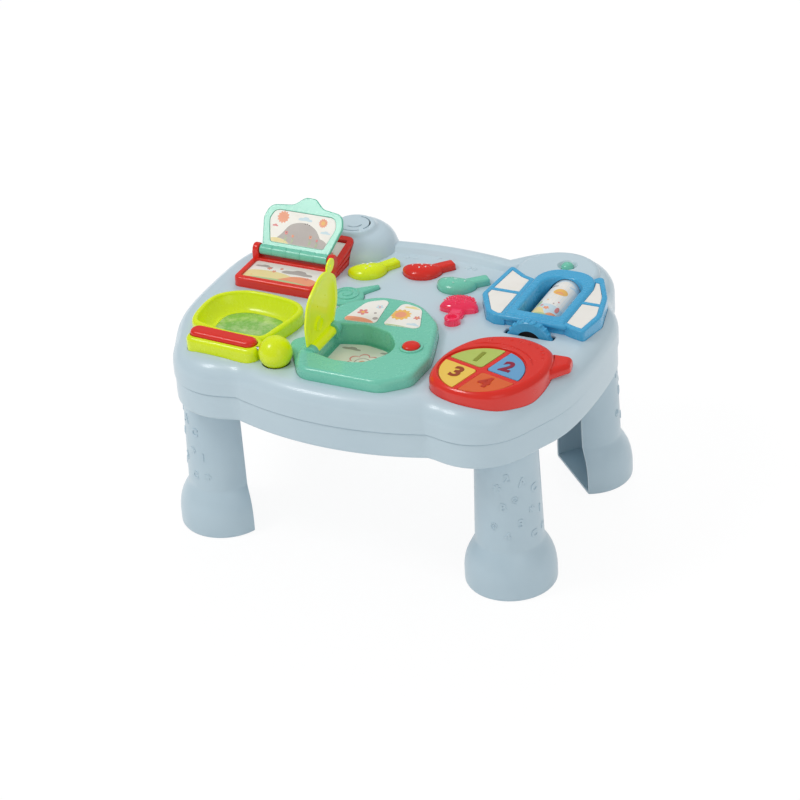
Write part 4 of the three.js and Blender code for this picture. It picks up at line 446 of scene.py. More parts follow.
def plastic(name, colour, shade, rough=0.3, coat=0.25, variation=0.25, patch=14, grain=1400, **more):
    look = finishes[name] = bpy.data.materials.new(name)
    look.use_nodes = True
    look.diffuse_color = linear(colour)
    tree = look.node_tree
    surface = added(tree, "ShaderNodeGroup", {
        "Colour": linear(colour), "Shade": linear(shade), "Variation": variation, "Roughness": rough,
        "Patch Scale": patch, "Grain Scale": grain}, node_tree=mouldedSurface)
    bumps = added(tree, "ShaderNodeBump", {
        "Distance": moulding["bump"], "Strength": moulding["bumpStrength"], "Height": surface["Height"]})
    values = {"Base Color": surface["Colour"], "Roughness": surface["Roughness"], "Normal": bumps["Normal"],
              "Coat Weight": coat, "Coat Roughness": moulding["coatRoughness"], "IOR": moulding["bending"],
              "Transmission Weight": more.get("see", 0), "Metallic": more.get("metal", 0)}
    # A glow is painted light: emission in the surface's own colour
    if "glow" in more:
        values |= {"Emission Color": surface["Colour"], "Emission Strength": more["glow"]}
    fill(tree, tree.nodes["Principled BSDF"], values)
    return tree


plastic("paleBlue", "c6dae4", "b3cad8", rough=0.33, coat=0.2, variation=0.2, patch=9)
plastic("legBlue", "c0d5e0", "a9c2d1", rough=0.36, coat=0.18, patch=12)
# A darker copy of the legs' blue for the inner faces of their open channels: painted shade
plastic("legBluePaintedShade", "3f8fb5", "347fa4", rough=0.45, coat=0.1, variation=0.3, patch=16)
plastic("mint", "78cfb6", "62bfa5", rough=0.27, coat=0.3)
plastic("lime", "e2f508", "d3ea00", rough=0.27)
# The lid's lime gets a faint painted glow (emission 0.1) to brighten it
plastic("lidLime", "e9f810", "dcf000", glow=0.1)
plastic("red", "e62a1c", "d41d12", rough=0.25, coat=0.3)
plastic("blue", "46aede", "3399cc", rough=0.27, coat=0.3)
plastic("cardWhite", "f5f2ec", "e9e4da", rough=0.42, coat=0.12, variation=0.3, patch=40)
plastic("silicone", "b9b9b4", "a6a6a1", rough=0.75, coat=0, grain=900)
plastic("boardGreen", "2f6b42", "245534", rough=0.5, coat=0.2, patch=50)
# Black plastic for the speaker; on the thumb wheel the same black is painted shade in the hole
plastic("blackPlasticAndPaintedShade", "22262a", "17191c", rough=0.6, coat=0)
plastic("cellSleeve", "3a4046", "2b3036", rough=0.4, coat=0.3)
plastic("clearLens", "f4f1ea", "e6e1d6", rough=0.1, coat=0.5, see=0.6)
plastic("fleckMint", "b4e4d6", "9ad8c6", coat=0.3)
plastic("fleckWhite", "f6f4ee", "e8e4da", rough=0.35, coat=0.2, patch=60)
plastic("steel", "c6cace", "aab0b6", rough=0.28, coat=0, patch=90, grain=3000, metal=0.95)  # with fine turning marks
for ending, colours in {"Grey": "b9b0ac a79c98", "Peach": "f3a37e ea8d68", "Rose": "e58a86 d4706f", "Sand": "f0dfa2 e4cf86",
                        "Sky": "cfe3ec bcd6e3", "Leaf": "b9cf9a a4bf83", "Sun": "f4c063 eeae45",
                        "Dark": "6c6668 565053"}.items():
    plastic("ink" + ending, *colours.split(), rough=0.45, coat=0.1, patch=60)
for ending, colours in {"Yellow": "f9cf52 f2bd38", "Blue": "69a9d8 5497cb", "Green": "bccf62 aac04c",
                        "Orange": "ea6420 dc5414"}.items():
    plastic("key" + ending, *colours.split(), rough=0.2, coat=0.3, see=0.05)
for ending, colours in {"Brown": "a04418 8c3810", "Wine": "98183c 84102f", "Orange": "c8320c b52a08",
                        "Olive": "8f9a2c 7f8a20"}.items():
    plastic("digit" + ending, *colours.split(), rough=0.35, coat=0.1)


# Tinted clear plastic with a bright pattern and an optional glow. On the lamp the bright cells are painted highlights
# of its inner reflector facets, with a painted glow; on the basin window the pattern is frost
def patterned(name, dark, bright, scale, mask, glow, see):
    tree = plastic(name, dark, dark, rough=0.12, coat=0.8, variation=0, see=see)
    place = added(tree, "ShaderNodeTexCoord")["Object"]
    mapped = added(tree, "ShaderNodeMapping", {"Vector": place, "Scale": [scale] * 3, "Rotation": (0, 0, math.radians(38))})
    colour = mixed(tree, mask(tree, mapped["Vector"]), linear(dark), linear(bright))
    fill(tree, tree.nodes["Principled BSDF"], {"Base Color": colour})
    if glow:
        fill(tree, tree.nodes["Principled BSDF"], {"Emission Color": colour, "Emission Strength": glow})


# Bright cells that stand for painted highlights of the lamp's inner reflector facets
def cellHighlightMask(tree, place):
    cells = added(tree, "ShaderNodeTexVoronoi", {"Randomness": 0.12, "Vector": place})["Distance"]
    return calc(tree, "SMOOTH_MIN", calc(tree, "MULTIPLY_ADD", cells, -2.6, 1.35), 1.0, 0.2)


def frostMask(tree, place):
    return calc(tree, "SMOOTH_MAX", calc(tree, "MULTIPLY_ADD", noise(tree, place, 1.0, 5, 0.75), 3.2, -1.45), 0.0, 0.15)


# The lamp's pink cells are painted highlights, and glow at 0.3 as painted light
patterned("lampRed", "d0083a", "ff5f90", 300, cellHighlightMask, 0.3, 0.2)
patterned("windowGreen", "86c855", "dff0b8", 60, frostMask, 0, 0.1)
print("finishes made:", len(finishes))


# Putting pieces in the scene


def show(name, mesh, looks, body, nodes=()):
    mesh.transform(Matrix.Scale(millimetre, 4))
    mesh.name = name
    if mesh.materials:
        mesh.materials.clear()
        mesh.polygons.foreach_set("material_index", [0] * len(mesh.polygons))
    for look in [looks] if isinstance(looks, str) else looks:
        mesh.materials.append(finishes[look])
    mesh.shade_smooth()
    mesh.set_sharp_from_angle(angle=math.radians(sharpAngle))
    thing = held(mesh)
    thing.name = name
    weigh = thing.modifiers.new("flatFaces", "WEIGHTED_NORMAL")
    weigh.keep_sharp = True
    finished = bpy.data.meshes.new_from_object(thing.evaluated_get(bpy.context.evaluated_depsgraph_get()))
    thing.modifiers.remove(weigh)
    thing.data = finished
    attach(thing, body)
    if nodes:
        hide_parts(*([nodes] if isinstance(nodes, str) else nodes))


def gather(parts):
    work = bmesh.new()
    for mesh, index in parts:
        first = len(work.faces)
        work.from_mesh(mesh)
        work.faces.ensure_lookup_table()
        for face in work.faces[first:]:
            face.material_index = index
    mesh = bpy.data.meshes.new("gathered")
    work.to_mesh(mesh)
    work.free()
    return mesh


# Table top and body

table = {
    "width": 480, "frontReach": 192.5, "backReach": 164, "frontArc": 355, "backArc": 424, "sideArc": 1000,
    "frontLobe": (150, 119, 60), "backLobe": (134.4, 121.5, 71), "notchSharpness": 26, "cornerSharpness": 18,
    "points": 240, "base": 171.5, "seam": 203, "top": 240, "wall": 3, "seamStep": 1.2, "baseEdge": 4,
    "bulgeShoulder": 18, "sideShoulder": 23, "lobeShoulder": 24, "backShoulder": 20, "lobeSpan": (16, 28),
    "rimRise": 5, "rimFlat": 7, "rimSlope": 9, "rimStart": 0.3, "rimFull": 0.62,
}
pad = {"x": 139, "y": 130, "radius": 49, "rise": 9, "edge": 8}
dome = {"x": -112, "y": 127, "slots": ((9, -60), (18, -110), (18, 30)), "slotWidth": 1.8, "slotHalfAngle": 62,
        "slotDepth": 5, "rise": 28,
        "profile": [(50, -3), (50, 0), (47.5, 7), (44.5, 12.5), (40.5, 16.5), (36.5, 19.5), (33, 21.2), (29.5, 22.2),
                    (27, 23.4), (25.4, 25.2), (24, 27), (22.4, 28), (0, 28)]}
top = table["top"]


def arcReach(c, s, x, y, radius):
    along = c * x + s * y
    inside = along ** 2 - (x * x + y * y) + radius ** 2
    return along + math.sqrt(inside) if inside > 0 else 0


def tableLine():
    points = []
    for angle in np.arange(table["points"]) / table["points"] * math.tau:
        c, s = abs(math.cos(angle)), abs(math.sin(angle))
        side = "front" if math.sin(angle) < 0 else "back"
        arc, half = table[side + "Arc"], table["width"] / 2
        reachSide = arcReach(c, s, half - table["sideArc"], 0, table["sideArc"])
        reachEnd = arcReach(c, s, 0, table[side + "Reach"] - arc, arc)
        sharp = table["cornerSharpness"]
        body = (reachSide ** -sharp + reachEnd ** -sharp) ** (-1 / sharp)
        lobe = arcReach(c, s, *table[side + "Lobe"])
        sharp = table["notchSharpness"]
        radius = body * (1 + (lobe / body) ** sharp) ** (1 / sharp)
        points.append((radius * math.cos(angle), radius * math.sin(angle)))
    return np.array(points)


def smoothStep(x, low, high):
    t = np.clip((x - low) / (high - low), 0, 1)
    return t * t * (3 - 2 * t)


edgeLine = tableLine()
edgeAngle = edgeLine[:, 1] / np.linalg.norm(edgeLine, axis=1)


def shoulders():
    x, y = np.abs(edgeLine).T
    steep = np.abs(edgeAngle)
    side = table["sideShoulder"]
    back = side + (table["backShoulder"] - side) * steep
    straight = side + (table["bulgeShoulder"] - side) * steep
    away = np.degrees(np.abs(np.arctan2(y, x) - math.atan2(table["frontLobe"][1], table["frontLobe"][0])))
    lobe = 1 - smoothStep(away, *table["lobeSpan"])
    return np.where(edgeLine[:, 1] > 0, back, straight + (table["lobeShoulder"] - straight) * lobe)


def shoulderSteps(offset, bottom, crowns):
    return [(offset, bottom)] + [(offset + amount, z) for amount, z in roundOver(shoulders() - offset, crowns, 8)]


def topForm(offset, bottom):
    rise = table["rimRise"] * smoothStep(edgeAngle, table["rimStart"], table["rimFull"])
    crowns = top + rise - offset
    steps = shoulderSteps(offset, bottom, crowns)
    sizes = shoulders() + table["rimFlat"]
    steps += [(sizes + table["rimSlope"] * t, crowns - rise * smoothStep(t, 0, 1)) for t in np.linspace(0, 1, 6)]
    padTop = top + pad["rise"] - offset
    hump = rounded(circle(pad["radius"] - offset, pad["x"], pad["y"], 96), top - pad["rise"], padTop, pad["edge"])
    limit = profiled(edgeLine, shoulderSteps(offset, table["seam"], padTop))
    profile = [(0, top - 5)] + [(max(r - offset, 0), top + z - (offset if z > 1 else 0)) for r, z in dome["profile"]]
    return joined(profiled(edgeLine, steps), within(hump, limit), placed(revolve(profile), dome))


def soundSlot(radius, degrees):
    half = math.radians(dome["slotHalfAngle"])
    angles, wide = np.linspace(-half, half, 24), dome["slotWidth"] / 2
    line = np.concatenate([polar(angles, radius + wide), polar(angles, radius - wide)[::-1]])
    height = top + dome["rise"]
    return placed(prism(line, height - dome["slotDepth"], height + overrun), {**dome, "turn": degrees})


book = {"x": -150, "y": 48, "width": 104, "frontLength": 56, "backLength": 53, "skirt": 15, "frontRise": 12,
        "backRise": 25, "edge": 3.4, "corner": 8, "trayInset": 7, "trayDepth": 4, "layers": 3, "layerGap": 1.6,
        "leafEdge": 1.3, "hingeRise": 20.5, "barrel": 6, "barrelLength": 86, "lugWidth": 8, "lugRadius": 7.2,
        "pinBore": 1.9, "card": 0.9, "skirtRise": 1.4, "coreInset": (2, 1.5, 5), "lugFoot": 2.5, "pageRoom": 1.9,
        "barrelRoom": 1.3}
basin = {"x": -143, "y": -84, "width": 116, "depth": 98, "rise": 16, "skirt": 12, "edge": 4.5, "rimWidth": 7,
         "rimEdge": 2.6, "rimDrop": 3, "floorRise": -3, "floorShare": 0.72, "pane": 2, "curve": 1.8}
bar = {"x": -139, "y": -141.5, "turn": -3, "width": 90, "depth": 31, "rise": 15, "edge": 5.5, "corner": 11}
longKey = {"x": -140.5, "y": -141.5, "turn": -3, "width": 82, "depth": 19, "rise": 20, "edge": 4.5, "travel": 2.5,
           "floorRise": 3, "lip": 0.9}
ball = {"x": -74.5, "y": -146.5, "rise": 12, "radius": 18.5, "clearance": 1.2, "bore": 2.7, "axle": 23.8}
door = {"x": 5, "y": -83, "width": 166, "depth": 174, "rise": 14, "skirt": 13, "edge": 5.5, "corner": 20,
        "flankRise": 7, "flankEdge": 4, "panelDepth": 1.1, "panel": 0.8, "rib": {"x": 41.2, "y": -86}, "ribRadius": 1.6}
well = {"x": -38, "y": -102, "length": 88, "width": 80, "depth": 11, "corner": 14, "lip": 1.6, "card": 0.9,
        "cardInset": 3.5}
lid = {"openAngle": 84, "clearance": 1.4, "skin": (1.9, 3.4, 4.6, 3.9), "edge": (1.3, 1.1), "crown": (0.96, 0.504),
       "dish": (0.86, 0.504), "dishSkin": (2.2, 3.2), "curve": 0.8, "pivotInset": 2, "pivotDrop": 4.5, "barrel": 5.5,
       "half": 23, "sideGap": 0.5, "lugWidth": 9, "lugRadius": 8, "bore": 1.9, "tab": (77, 25, 8.5),
       "tabHeights": (5, 7.3), "tabHole": 1.7, "boss": (18, 8.2, 6.8), "bossHeights": (3.4, 6.6, 2, 5.4),
       "web": (6.2, 4.5), "stopWidth": 10.5, "slot": (4.8, 10.6), "lugFoot": (7.6, 6, 0.4, 14, 4)}
lidButton = {"x": 61, "y": -91, "radius": 9.6, "ring": 13, "ringEdge": 0.9, "ringBase": 0.7, "ringRise": 1.6,
             "mouth": (10.8, 10.3), "seat": 1.2, "rise": 19.5}
snail = {"x": -66, "y": 8, "radius": 20, "shoulder": 2, "rise": 6, "tail": (27, 33), "tailRise": 4.2, "tailTip": 2.6,
         "coils": (0.9, 2.1 * math.tau), "coilStart": 2.2, "coilTurn": 2.2, "coilEdge": 4, "coil": 1.15,
         "crown": 40}
flange = {"low": 10, "top": 3.3, "foot": 3.4, "width": 1.8}
mushroom = {"width": 45, "length": 27, "shoulder": 3, "rise": 12, "stemWidth": 14, "stemLength": 40, "stemRise": 8}
mushroomPlaces = {"lime": {"x": -66.5, "y": 66, "turn": 33, "lean": -66},
                  "red": {"x": -8.5, "y": 85, "turn": 15, "lean": -58},
                  "mint": {"x": 41, "y": 67, "turn": 5, "lean": -53}}
lamp = {"x": 64, "y": 30, "turn": -170, "width": 43, "length": 30, "shoulder": 3, "rise": 12, "stemWidth": 17,
        "stemLength": 27, "stemRise": 6, "knob": (70, -5, 9), "knobRise": 8, "knobHole": 5, "depth": 8, "ledRoom": 5.5,
        "stud": 1.35, "studPitch": (3.5, 3.1), "studReach": (18.5, 12.2)}
window = {"x": 160, "y": 66, "width": 72, "front": 11, "back": 129, "rise": 14, "skirt": 12, "edge": 4.4, "corner": 3,
          "arch": 30, "openWidth": 49, "openFront": 25, "openBack": 109, "openArch": 21, "shutterRise": 12,
          "shutterEdge": 2.4, "sill": (118, 199, 11.8, 9, 3.6), "paneFrame": 6, "muntin": 5, "paneDepth": 2.2,
          "pane": 1.4, "paneEnd": 112, "bore": 2.3}
drum = {"drop": 9.5, "radius": 20.2, "front": 22, "back": 112, "skin": 0.3, "layer": 0.012, "sheet": (41.2, 2, 88)}
thumb = {"thickness": 9, "radius": 27.5, "hub": 15, "gap": 1.5, "ridges": 24, "ridge": 1.85, "ridgeLength": 8.4}
keypad = {"x": 158, "y": -96, "width": 120, "depth": 129, "rise": 16, "skirt": 12, "edge": 8, "dial": (152, -110, 46),
          "dialDepth": 2, "cross": 6, "corner": 4, "nub": (218, -54, 10.5), "nubRise": 10, "proud": 0.4,
          "leaf": [(196, -88, 4), (215, -88, 9), (233, -62, 8), (229, -43, 8), (205, -44, 5)], "leafEdge": 6,
          "groove": (54, 25, 122, 0.9), "beadArc": (34, 112), "bead": 2, "membraneDepth": 9.5, "keyDepth": 4.9}
power = {"x": 145, "y": 145, "radius": 7, "dimple": 12.3, "depth": 4, "rise": 12}


doorShares = [(-0.265, -0.5, 1.1), (0.33, -0.5, 1.3), (0.49, -0.36, 1), (0.5, -0.1, 0.9), (0.455, 0.05, 0.8),
              (0.37, 0.3, 2), (0.14, 0.5, 2.4), (-0.15, 0.5, 2), (-0.37, 0.34, 1.6), (-0.38, 0.04, 1), (-0.35, -0.3, 1)]
flankShares = [(-0.25, -0.5, 1), (-0.1, -0.42, 0.4), (-0.22, -0.02, 0.4), (-0.4, -0.04, 0.4), (-0.5, -0.14, 0.6)]
wellShares = [(0, -0.4, 0.5), (0.36, -0.5, 2.2), (0.72, -0.46, 2), (1, 0.02, 2.6), (0.72, 0.42, 1.8), (0.36, 0.5, 2.2),
              (0, 0.4, 0.5)]
basinShares = [(-0.49, -0.1), (-0.42, -0.36), (-0.2, -0.46), (0.12, -0.5), (0.38, -0.46), (0.45, -0.2), (0.5, 0.24),
               (0.4, 0.41), (0.1, 0.5), (-0.24, 0.48), (-0.46, 0.28)]
keypadShares = [(-0.5, -0.14), (-0.42, -0.38), (-0.12, -0.5), (0.22, -0.46), (0.44, -0.2), (0.5, 0.12), (0.4, 0.38),
                (0.06, 0.5), (-0.28, 0.4), (-0.46, 0.14)]
capShares = [(-0.5, 0.28), (-0.44, -0.1), (-0.24, -0.42), (0, -0.5), (0.24, -0.42), (0.44, -0.1), (0.5, 0.28),
             (0.3, 0.46), (0, 0.5), (-0.3, 0.46)]
leftShutter = [(82, 50, 9), (102, 14, 8), (114, 8, 4), (126, 9, 1), (126, 99, 1), (112, 104, 4), (88, 121, 4)]
rightShutter = [(190, 14, 1), (203, 8, 3), (221, 3, 4), (227, 44, 30), (217, 86, 30), (195, 130, 5), (185, 118, 4),
                (190, 96, 1)]
leftPanel = [(-37, -61, 5), (2, -57, 6), (-5, -1, 7), (-28, -16, 15)]
rightPanel = [(10, -56, 5), (53, -52, 6), (37, -10, 15), (11, -4, 7)]


def shapedBy(shares, piece, across="width", along="depth"):
    return fillet(cornersOf(shares, piece[across], piece[along], piece["corner"]))


# A frame with square front corners and an arched back, from its half width and two values of y
def arched(half, front, back, arch):
    corners = [(x, front, window["corner"]) for x in (-half, half)] + [(x, back, arch) for x in (half, -half)]
    return fillet([(x, y - window["y"], r) for x, y, r in corners])


doorLine, flankLine = shapedBy(doorShares, door), shapedBy(flankShares, door)
wellLine = shapedBy(wellShares, well, "length", "width")
basinLine = curveThrough(basinShares, basin["width"], basin["depth"])
keypadLine = curveThrough(keypadShares, keypad["width"], keypad["depth"])
capLine, lampLine = (curveThrough(capShares, piece["width"], piece["length"]) for piece in (mushroom, lamp))
barLine = centred(bar["width"], bar["depth"], bar["corner"])
longKeyLine = centred(longKey["width"], longKey["depth"], longKey["depth"] / 2)
stemLine, lampStemLine = (rectangle(-piece["stemWidth"] / 2, piece["stemWidth"] / 2, 0, piece["stemLength"], corner)
                          for piece, corner in ((mushroom, 3.5), (lamp, 4.2)))
windowLine = arched(window["width"] / 2, window["front"], window["back"], window["arch"])
openingLine = arched(window["openWidth"] / 2, window["openFront"], window["openBack"], window["openArch"])
shutterLines = [fillet(corners) for corners in (leftShutter, rightShutter)]
tailX, tailY, tip = *snail["tail"], snail["tailTip"]
tailLine = fillet([(0, -12, 0), (tailX, tailY - tip, tip), (tailX - tip, tailY + tip, tip), (-6, 12, 0)])
bookLine = rectangle(-book["width"] / 2, book["width"] / 2, -book["frontLength"], book["backLength"], book["corner"])
nubLine = circle(keypad["nub"][2], keypad["nub"][0] - keypad["x"], keypad["nub"][1] - keypad["y"])
origin = {"x": 0, "y": 0}


def hole(line, place, gap=fitGap):
    return placed(prism(inset(line, -gap), table["seam"] - 1, top + dome["rise"] + 1), place)


def buildTop():
    ballRoom = math.sqrt((ball["radius"] + ball["clearance"]) ** 2 - ball["rise"] ** 2)
    knobX, knobY, knobRadius = lamp["knob"]
    holes = [hole(*row) for row in (
        (bookLine, book), (basinLine, basin), (barLine, bar), (doorLine, door), (flankLine, door), (windowLine, window),
        (shutterLines[0], origin), (shutterLines[1], origin), (keypadLine, keypad), (nubLine, keypad), (lampLine, lamp),
        (lampStemLine, lamp), (circle(knobRadius, knobX, knobY), origin), (circle(snail["radius"]), snail, keyGap),
        (tailLine, snail, keyGap), (circle(ballRoom, ball["x"], ball["y"]), origin, 0))]
    for place in mushroomPlaces.values():
        holes += [hole(capLine, place, keyGap), hole(leaning(stemLine, place["lean"]), place, keyGap)]
    half, deep = thumb["radius"] + thumb["gap"], thumb["thickness"] / 2 + thumb["gap"]
    slot = rectangle(window["x"] - half, window["x"] + half, -deep, deep, 3.5)
    holes.append(lipped(slot, table["seam"], top, 1.2))
    face = top + pad["rise"]
    floor = face - power["depth"]
    shaft, rim = power["radius"] + keyGap, power["dimple"]
    dimple = [(0, table["seam"]), (shaft, table["seam"]), (shaft, floor)]
    for share in np.arange(1, 7) / 6:
        dimple.append((shaft + (rim - shaft) * share, floor + (face + fitGap - floor) * smoothStep(share, 0, 1)))
    dimple += [(rim + 0.8, face + 1.5), (0, face + 1.5)]
    holes.append(placed(revolve(dimple), power))
    holes += [soundSlot(*slot) for slot in dome["slots"]]
    outer = topForm(0, table["seam"])
    inner = topForm(table["wall"], table["seam"] - overrun)
    cup = placed(prism(circle(rim + 3), face - 7, face - fitGap), power)
    body = without(joined(without(outer, inner), cup), *holes)
    show("tableTop", body, "paleBlue", "table", "top_shell")


legs = {"plug": 28.5, "plugLength": 22, "cut": 19.5, "wall": 3, "sole": 3, "throatStart": 54, "edge": 0.7,
        "stem": ((37.4, 78), (34.5, 171.2)),
        "profile": [(48, 0), (50, 0.8), (50.8, 2.2), (51, 4), (51, 18), (50.4, 24), (49.2, 31), (47.2, 37.5), (44.6, 43),
                    (42, 47.5), (40, 51), (38.6, 53.6), (38, 56), (37.4, 78), (34.5, 171.2)],
        "places": {"front_left": (-177.5, -113.5, -135), "front_right": (177.5, -113.5, -45),
                   "back_left": (-177.5, 113.5, 135), "back_right": (177.5, 113.5, 45)}}
shell = {"wall": 3, "floor": 3, "screws": ((-150, -166), (150, -166), (-38, 153), (62, 148)), "screwBore": 3.7,
         "screwDepth": 9.3, "doorGap": 0.4, "doorDepth": 2.8, "doorCorner": 2.5, "tongue": 12}


def dLine(radius, cut, sides=56):
    start = math.acos(-cut / radius)
    return polar(np.linspace(-start, start, sides), radius)


def buildBody():
    line, edge = inset(edgeLine, table["seamStep"]), table["baseEdge"]
    base, seam, wall = table["base"], table["seam"] - fitGap, shell["wall"]
    body = profiled(line, roundUnder(edge, base, 5) + [(0, seam - 2), (0.4, seam - 1.1), (1.6, seam)])
    holes = [profiled(line, [(edge, base + shell["floor"]), (wall, base + 5), (wall, seam + 2)])]
    gap, tongue = shell["doorGap"], shell["tongue"]
    (x0, y0, _), (x1, y1, _) = (np.array(corner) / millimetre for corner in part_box("battery_door"))
    for sides in ((x0 - gap, x1 + gap, y0 - gap, y1 + gap - tongue), (-tongue - gap, tongue + gap, 0, y1 + gap)):
        holes.append(prism(rectangle(*sides, shell["doorCorner"]), base - 1, base + shell["doorDepth"]))
    holes += [moved(rod(shell["screwBore"], base - 1, base + shell["screwDepth"]), x, y) for x, y in shell["screws"]]
    socket = dLine(legs["plug"] + fitGap, legs["cut"] + fitGap)
    for x, y, degrees in legs["places"].values():
        holes.append(moved(prism(socket, base - 1, base + legs["plugLength"] + 2), x, y, 0, degrees))
    show("tableBody", without(body, *holes), "paleBlue", "table", "bottom_shell")


def legSkin(offset, cut, bottom, height):
    profile = [(radius, z) for radius, z in legs["profile"] if not offset or z >= bottom]
    rings = [ring(dLine(radius - offset, cut), min(z, height)) for radius, z in profile]
    if offset:
        rings.insert(0, ring(dLine(legs["profile"][3][0] - offset, cut), bottom))
    return loft(rings)


def textForm(text, size, depth, bold=0.012):
    curve = bpy.data.curves.new("text", "FONT")
    curve.body = text
    curve.size = size
    curve.align_x, curve.align_y = "CENTER", "CENTER"
    curve.extrude = depth / 2
    curve.bevel_depth = depth * 0.35
    curve.bevel_resolution = 1
    curve.resolution_u = 6
    curve.offset = size * bold
    return worked(held(curve))


# Wraps a flat relief round a leg's stem: x runs round it, y up it
def wrapped(mesh, angle, height):
    (low, lowZ), (high, highZ) = legs["stem"]

    def bend(co):
        z = height + co.y
        radius = low + (high - low) * (z - lowZ) / (highZ - lowZ) + co.z
        return radius, math.radians(angle) + co.x / radius, z
    return bent(mesh, np.arange(-12, 12, 1.5), bend)


def flowerLine(petals, inner, outer, sides=60):
    angles = np.arange(sides) / sides * math.tau
    return polar(angles, inner + (outer - inner) * np.abs(np.cos(angles * petals / 2)) ** 0.7)


# Raised marks on the outward side of a leg: (mark, degrees from the middle, height, size)
legMarks = [("2", -22, 148, 13), ("A", 6, 141, 14), ("flower", -40, 136, 5), ("C", 30, 128, 13), ("spiral", -8, 121, 5),
            ("B", -30, 112, 13), ("flower", 22, 104, 4.5), ("1", 44, 98, 12), ("3", 0, 90, 14), ("spiral", -46, 88, 5),
            ("4", -24, 76, 12), ("flower", 50, 74, 4.5), ("C", 24, 72, 12)]


def reliefMark(mark, size):
    if mark == "flower":
        return rounded(flowerLine(5, size * 0.45, size), -0.5, 0.7, 0.4, 3)
    if mark == "spiral":
        turns = np.linspace(0.6, 3.6 * math.pi, 50)
        line = [(size * t / 11.3 * math.cos(t), size * t / 11.3 * math.sin(t), 0.15) for t in turns]
        return tube(line, 0.75, 8)
    return textForm(mark, size, 1.1)


def buildLegs():
    stemTop, cut, beyond = table["base"] - fitGap, legs["cut"], legs["cut"] + overrun
    plugTop = table["base"] + legs["plugLength"]
    for corner, (x, y, degrees) in legs["places"].items():
        body = legSkin(0, cut, 0, stemTop)
        plug = prism(dLine(legs["plug"], cut), stemTop - 3, plugTop)
        inside = legSkin(legs["wall"], beyond, legs["sole"], stemTop - 3)
        throat = prism(dLine(legs["plug"] - legs["wall"], beyond), legs["throatStart"], plugTop - 3)
        stem = softened(without(joined(body, plug), inside, throat), legs["edge"], 2, 50)
        for face in stem.polygons:  # those that look inwards, above the sole, are the open side, coloured darker as painted shade
            middle = Vector(face.center[:2])
            inwards = Vector(face.normal[:2]).dot(middle) < -0.2 * middle.length
            face.material_index = int(inwards and face.center.z > legs["sole"] + 0.5)
        marks = [(wrapped(reliefMark(m, size), angle, height), 0) for m, angle, height, size in legMarks]
        show("leg_" + corner, moved(gather([(stem, 0)] + marks), x, y, 0, degrees), ["legBlue", "legBluePaintedShade"], "table",
             "leg_" + corner)


buildTop()
buildBody()
buildLegs()
print("table top, body and legs made")


# Geometry Nodes: trees that set an item on every point


def copyTree(name, *sockets):
    return newTree(name, "GeometryNodeTree", [("Geometry", "Geometry"), *sockets, ("Look", "Material")],
                   [("Geometry", "Geometry")])


def finishTree(tree, given, end, points, item, **more):
    made = added(tree, "GeometryNodeInstanceOnPoints", {"Points": points, "Instance": item, **more})
    made = added(tree, "GeometryNodeRealizeInstances", {0: made[0]})
    made = added(tree, "GeometryNodeSetShadeSmooth", {0: made[0]})
    made = added(tree, "GeometryNodeSetMaterial", {0: made[0], "Material": given["Look"]})
    fill(tree, end, {0: made[0]})
    return tree


# Flattened beads, each a little larger or smaller than the next
def buildBeads():
    tree, given, end = copyTree("beads", ("Radius", "Float", 1.0), ("Flatness", "Float", 0.5),
                                ("Variation", "Float", 0.1), ("Seed", "Int", 3))
    bead = added(tree, "GeometryNodeMeshUVSphere", {"Segments": 16, "Rings": 8, "Radius": 1})["Mesh"]
    least, most = (calc(tree, way, 1.0, given["Variation"]) for way in ("SUBTRACT", "ADD"))
    chance = added(tree, "FunctionNodeRandomValue", {2: least, 3: most, "Seed": given["Seed"]}, data_type="FLOAT")[1]
    size = calc(tree, "MULTIPLY", chance, given["Radius"])
    flat = calc(tree, "MULTIPLY", size, given["Flatness"])
    scale = added(tree, "ShaderNodeCombineXYZ", {"X": size, "Y": size, "Z": flat})["Vector"]
    facing = added(tree, "GeometryNodeInputNamedAttribute", {"Name": "facing"}, data_type="FLOAT_VECTOR")["Attribute"]
    way = added(tree, "FunctionNodeAlignRotationToVector", {"Vector": facing}, axis="Z")["Rotation"]
    return finishTree(tree, given, end, given["Geometry"], bead, Rotation=way, Scale=scale)


# Ridges that stand round a rim whose axis is Z
def buildRidges():
    tree, given, end = copyTree("ridges", ("Count", "Int", 24), ("Rim", "Float", 20.0), ("Radius", "Float", 1.5),
                                ("Length", "Float", 8.0))
    rim = added(tree, "GeometryNodeMeshCircle", {"Vertices": given["Count"], "Radius": given["Rim"]})["Mesh"]
    grain = added(tree, "GeometryNodeMeshUVSphere", {"Segments": 14, "Rings": 10, "Radius": 1})["Mesh"]
    scale = added(tree, "ShaderNodeCombineXYZ", {
        "X": given["Radius"], "Y": given["Radius"], "Z": calc(tree, "MULTIPLY", given["Length"], 0.5)})["Vector"]
    return finishTree(tree, given, end, rim, grain, Scale=scale)


# Whole pieces, such as screws, at the points
def buildCopies():
    tree, given, end = copyTree("copies", ("Item", "Object"))
    item = added(tree, "GeometryNodeObjectInfo", {"Object": given["Item"]})["Geometry"]
    return finishTree(tree, given, end, given["Geometry"], item)


beads, ridges, copies = buildBeads(), buildRidges(), buildCopies()


def repeated(tree, points, facing=(0, 0, 1), **values):
    mesh = bpy.data.meshes.new("places")
    mesh.from_pydata([tuple(map(float, p)) for p in points], [], [])
    directions = np.broadcast_to(np.asarray(facing, float), (len(points), 3))
    store = mesh.attributes.new("facing", "FLOAT_VECTOR", "POINT")
    store.data.foreach_set("vector", np.ascontiguousarray(directions).ravel())
    thing = held(mesh)
    step = thing.modifiers.new(tree.name, "NODES")
    step.node_group = tree
    for item in tree.interface.items_tree:
        if item.in_out == "INPUT" and item.name in values:
            step[item.identifier] = finishes[values["Look"]] if item.name == "Look" else values[item.name]
    return worked(thing)


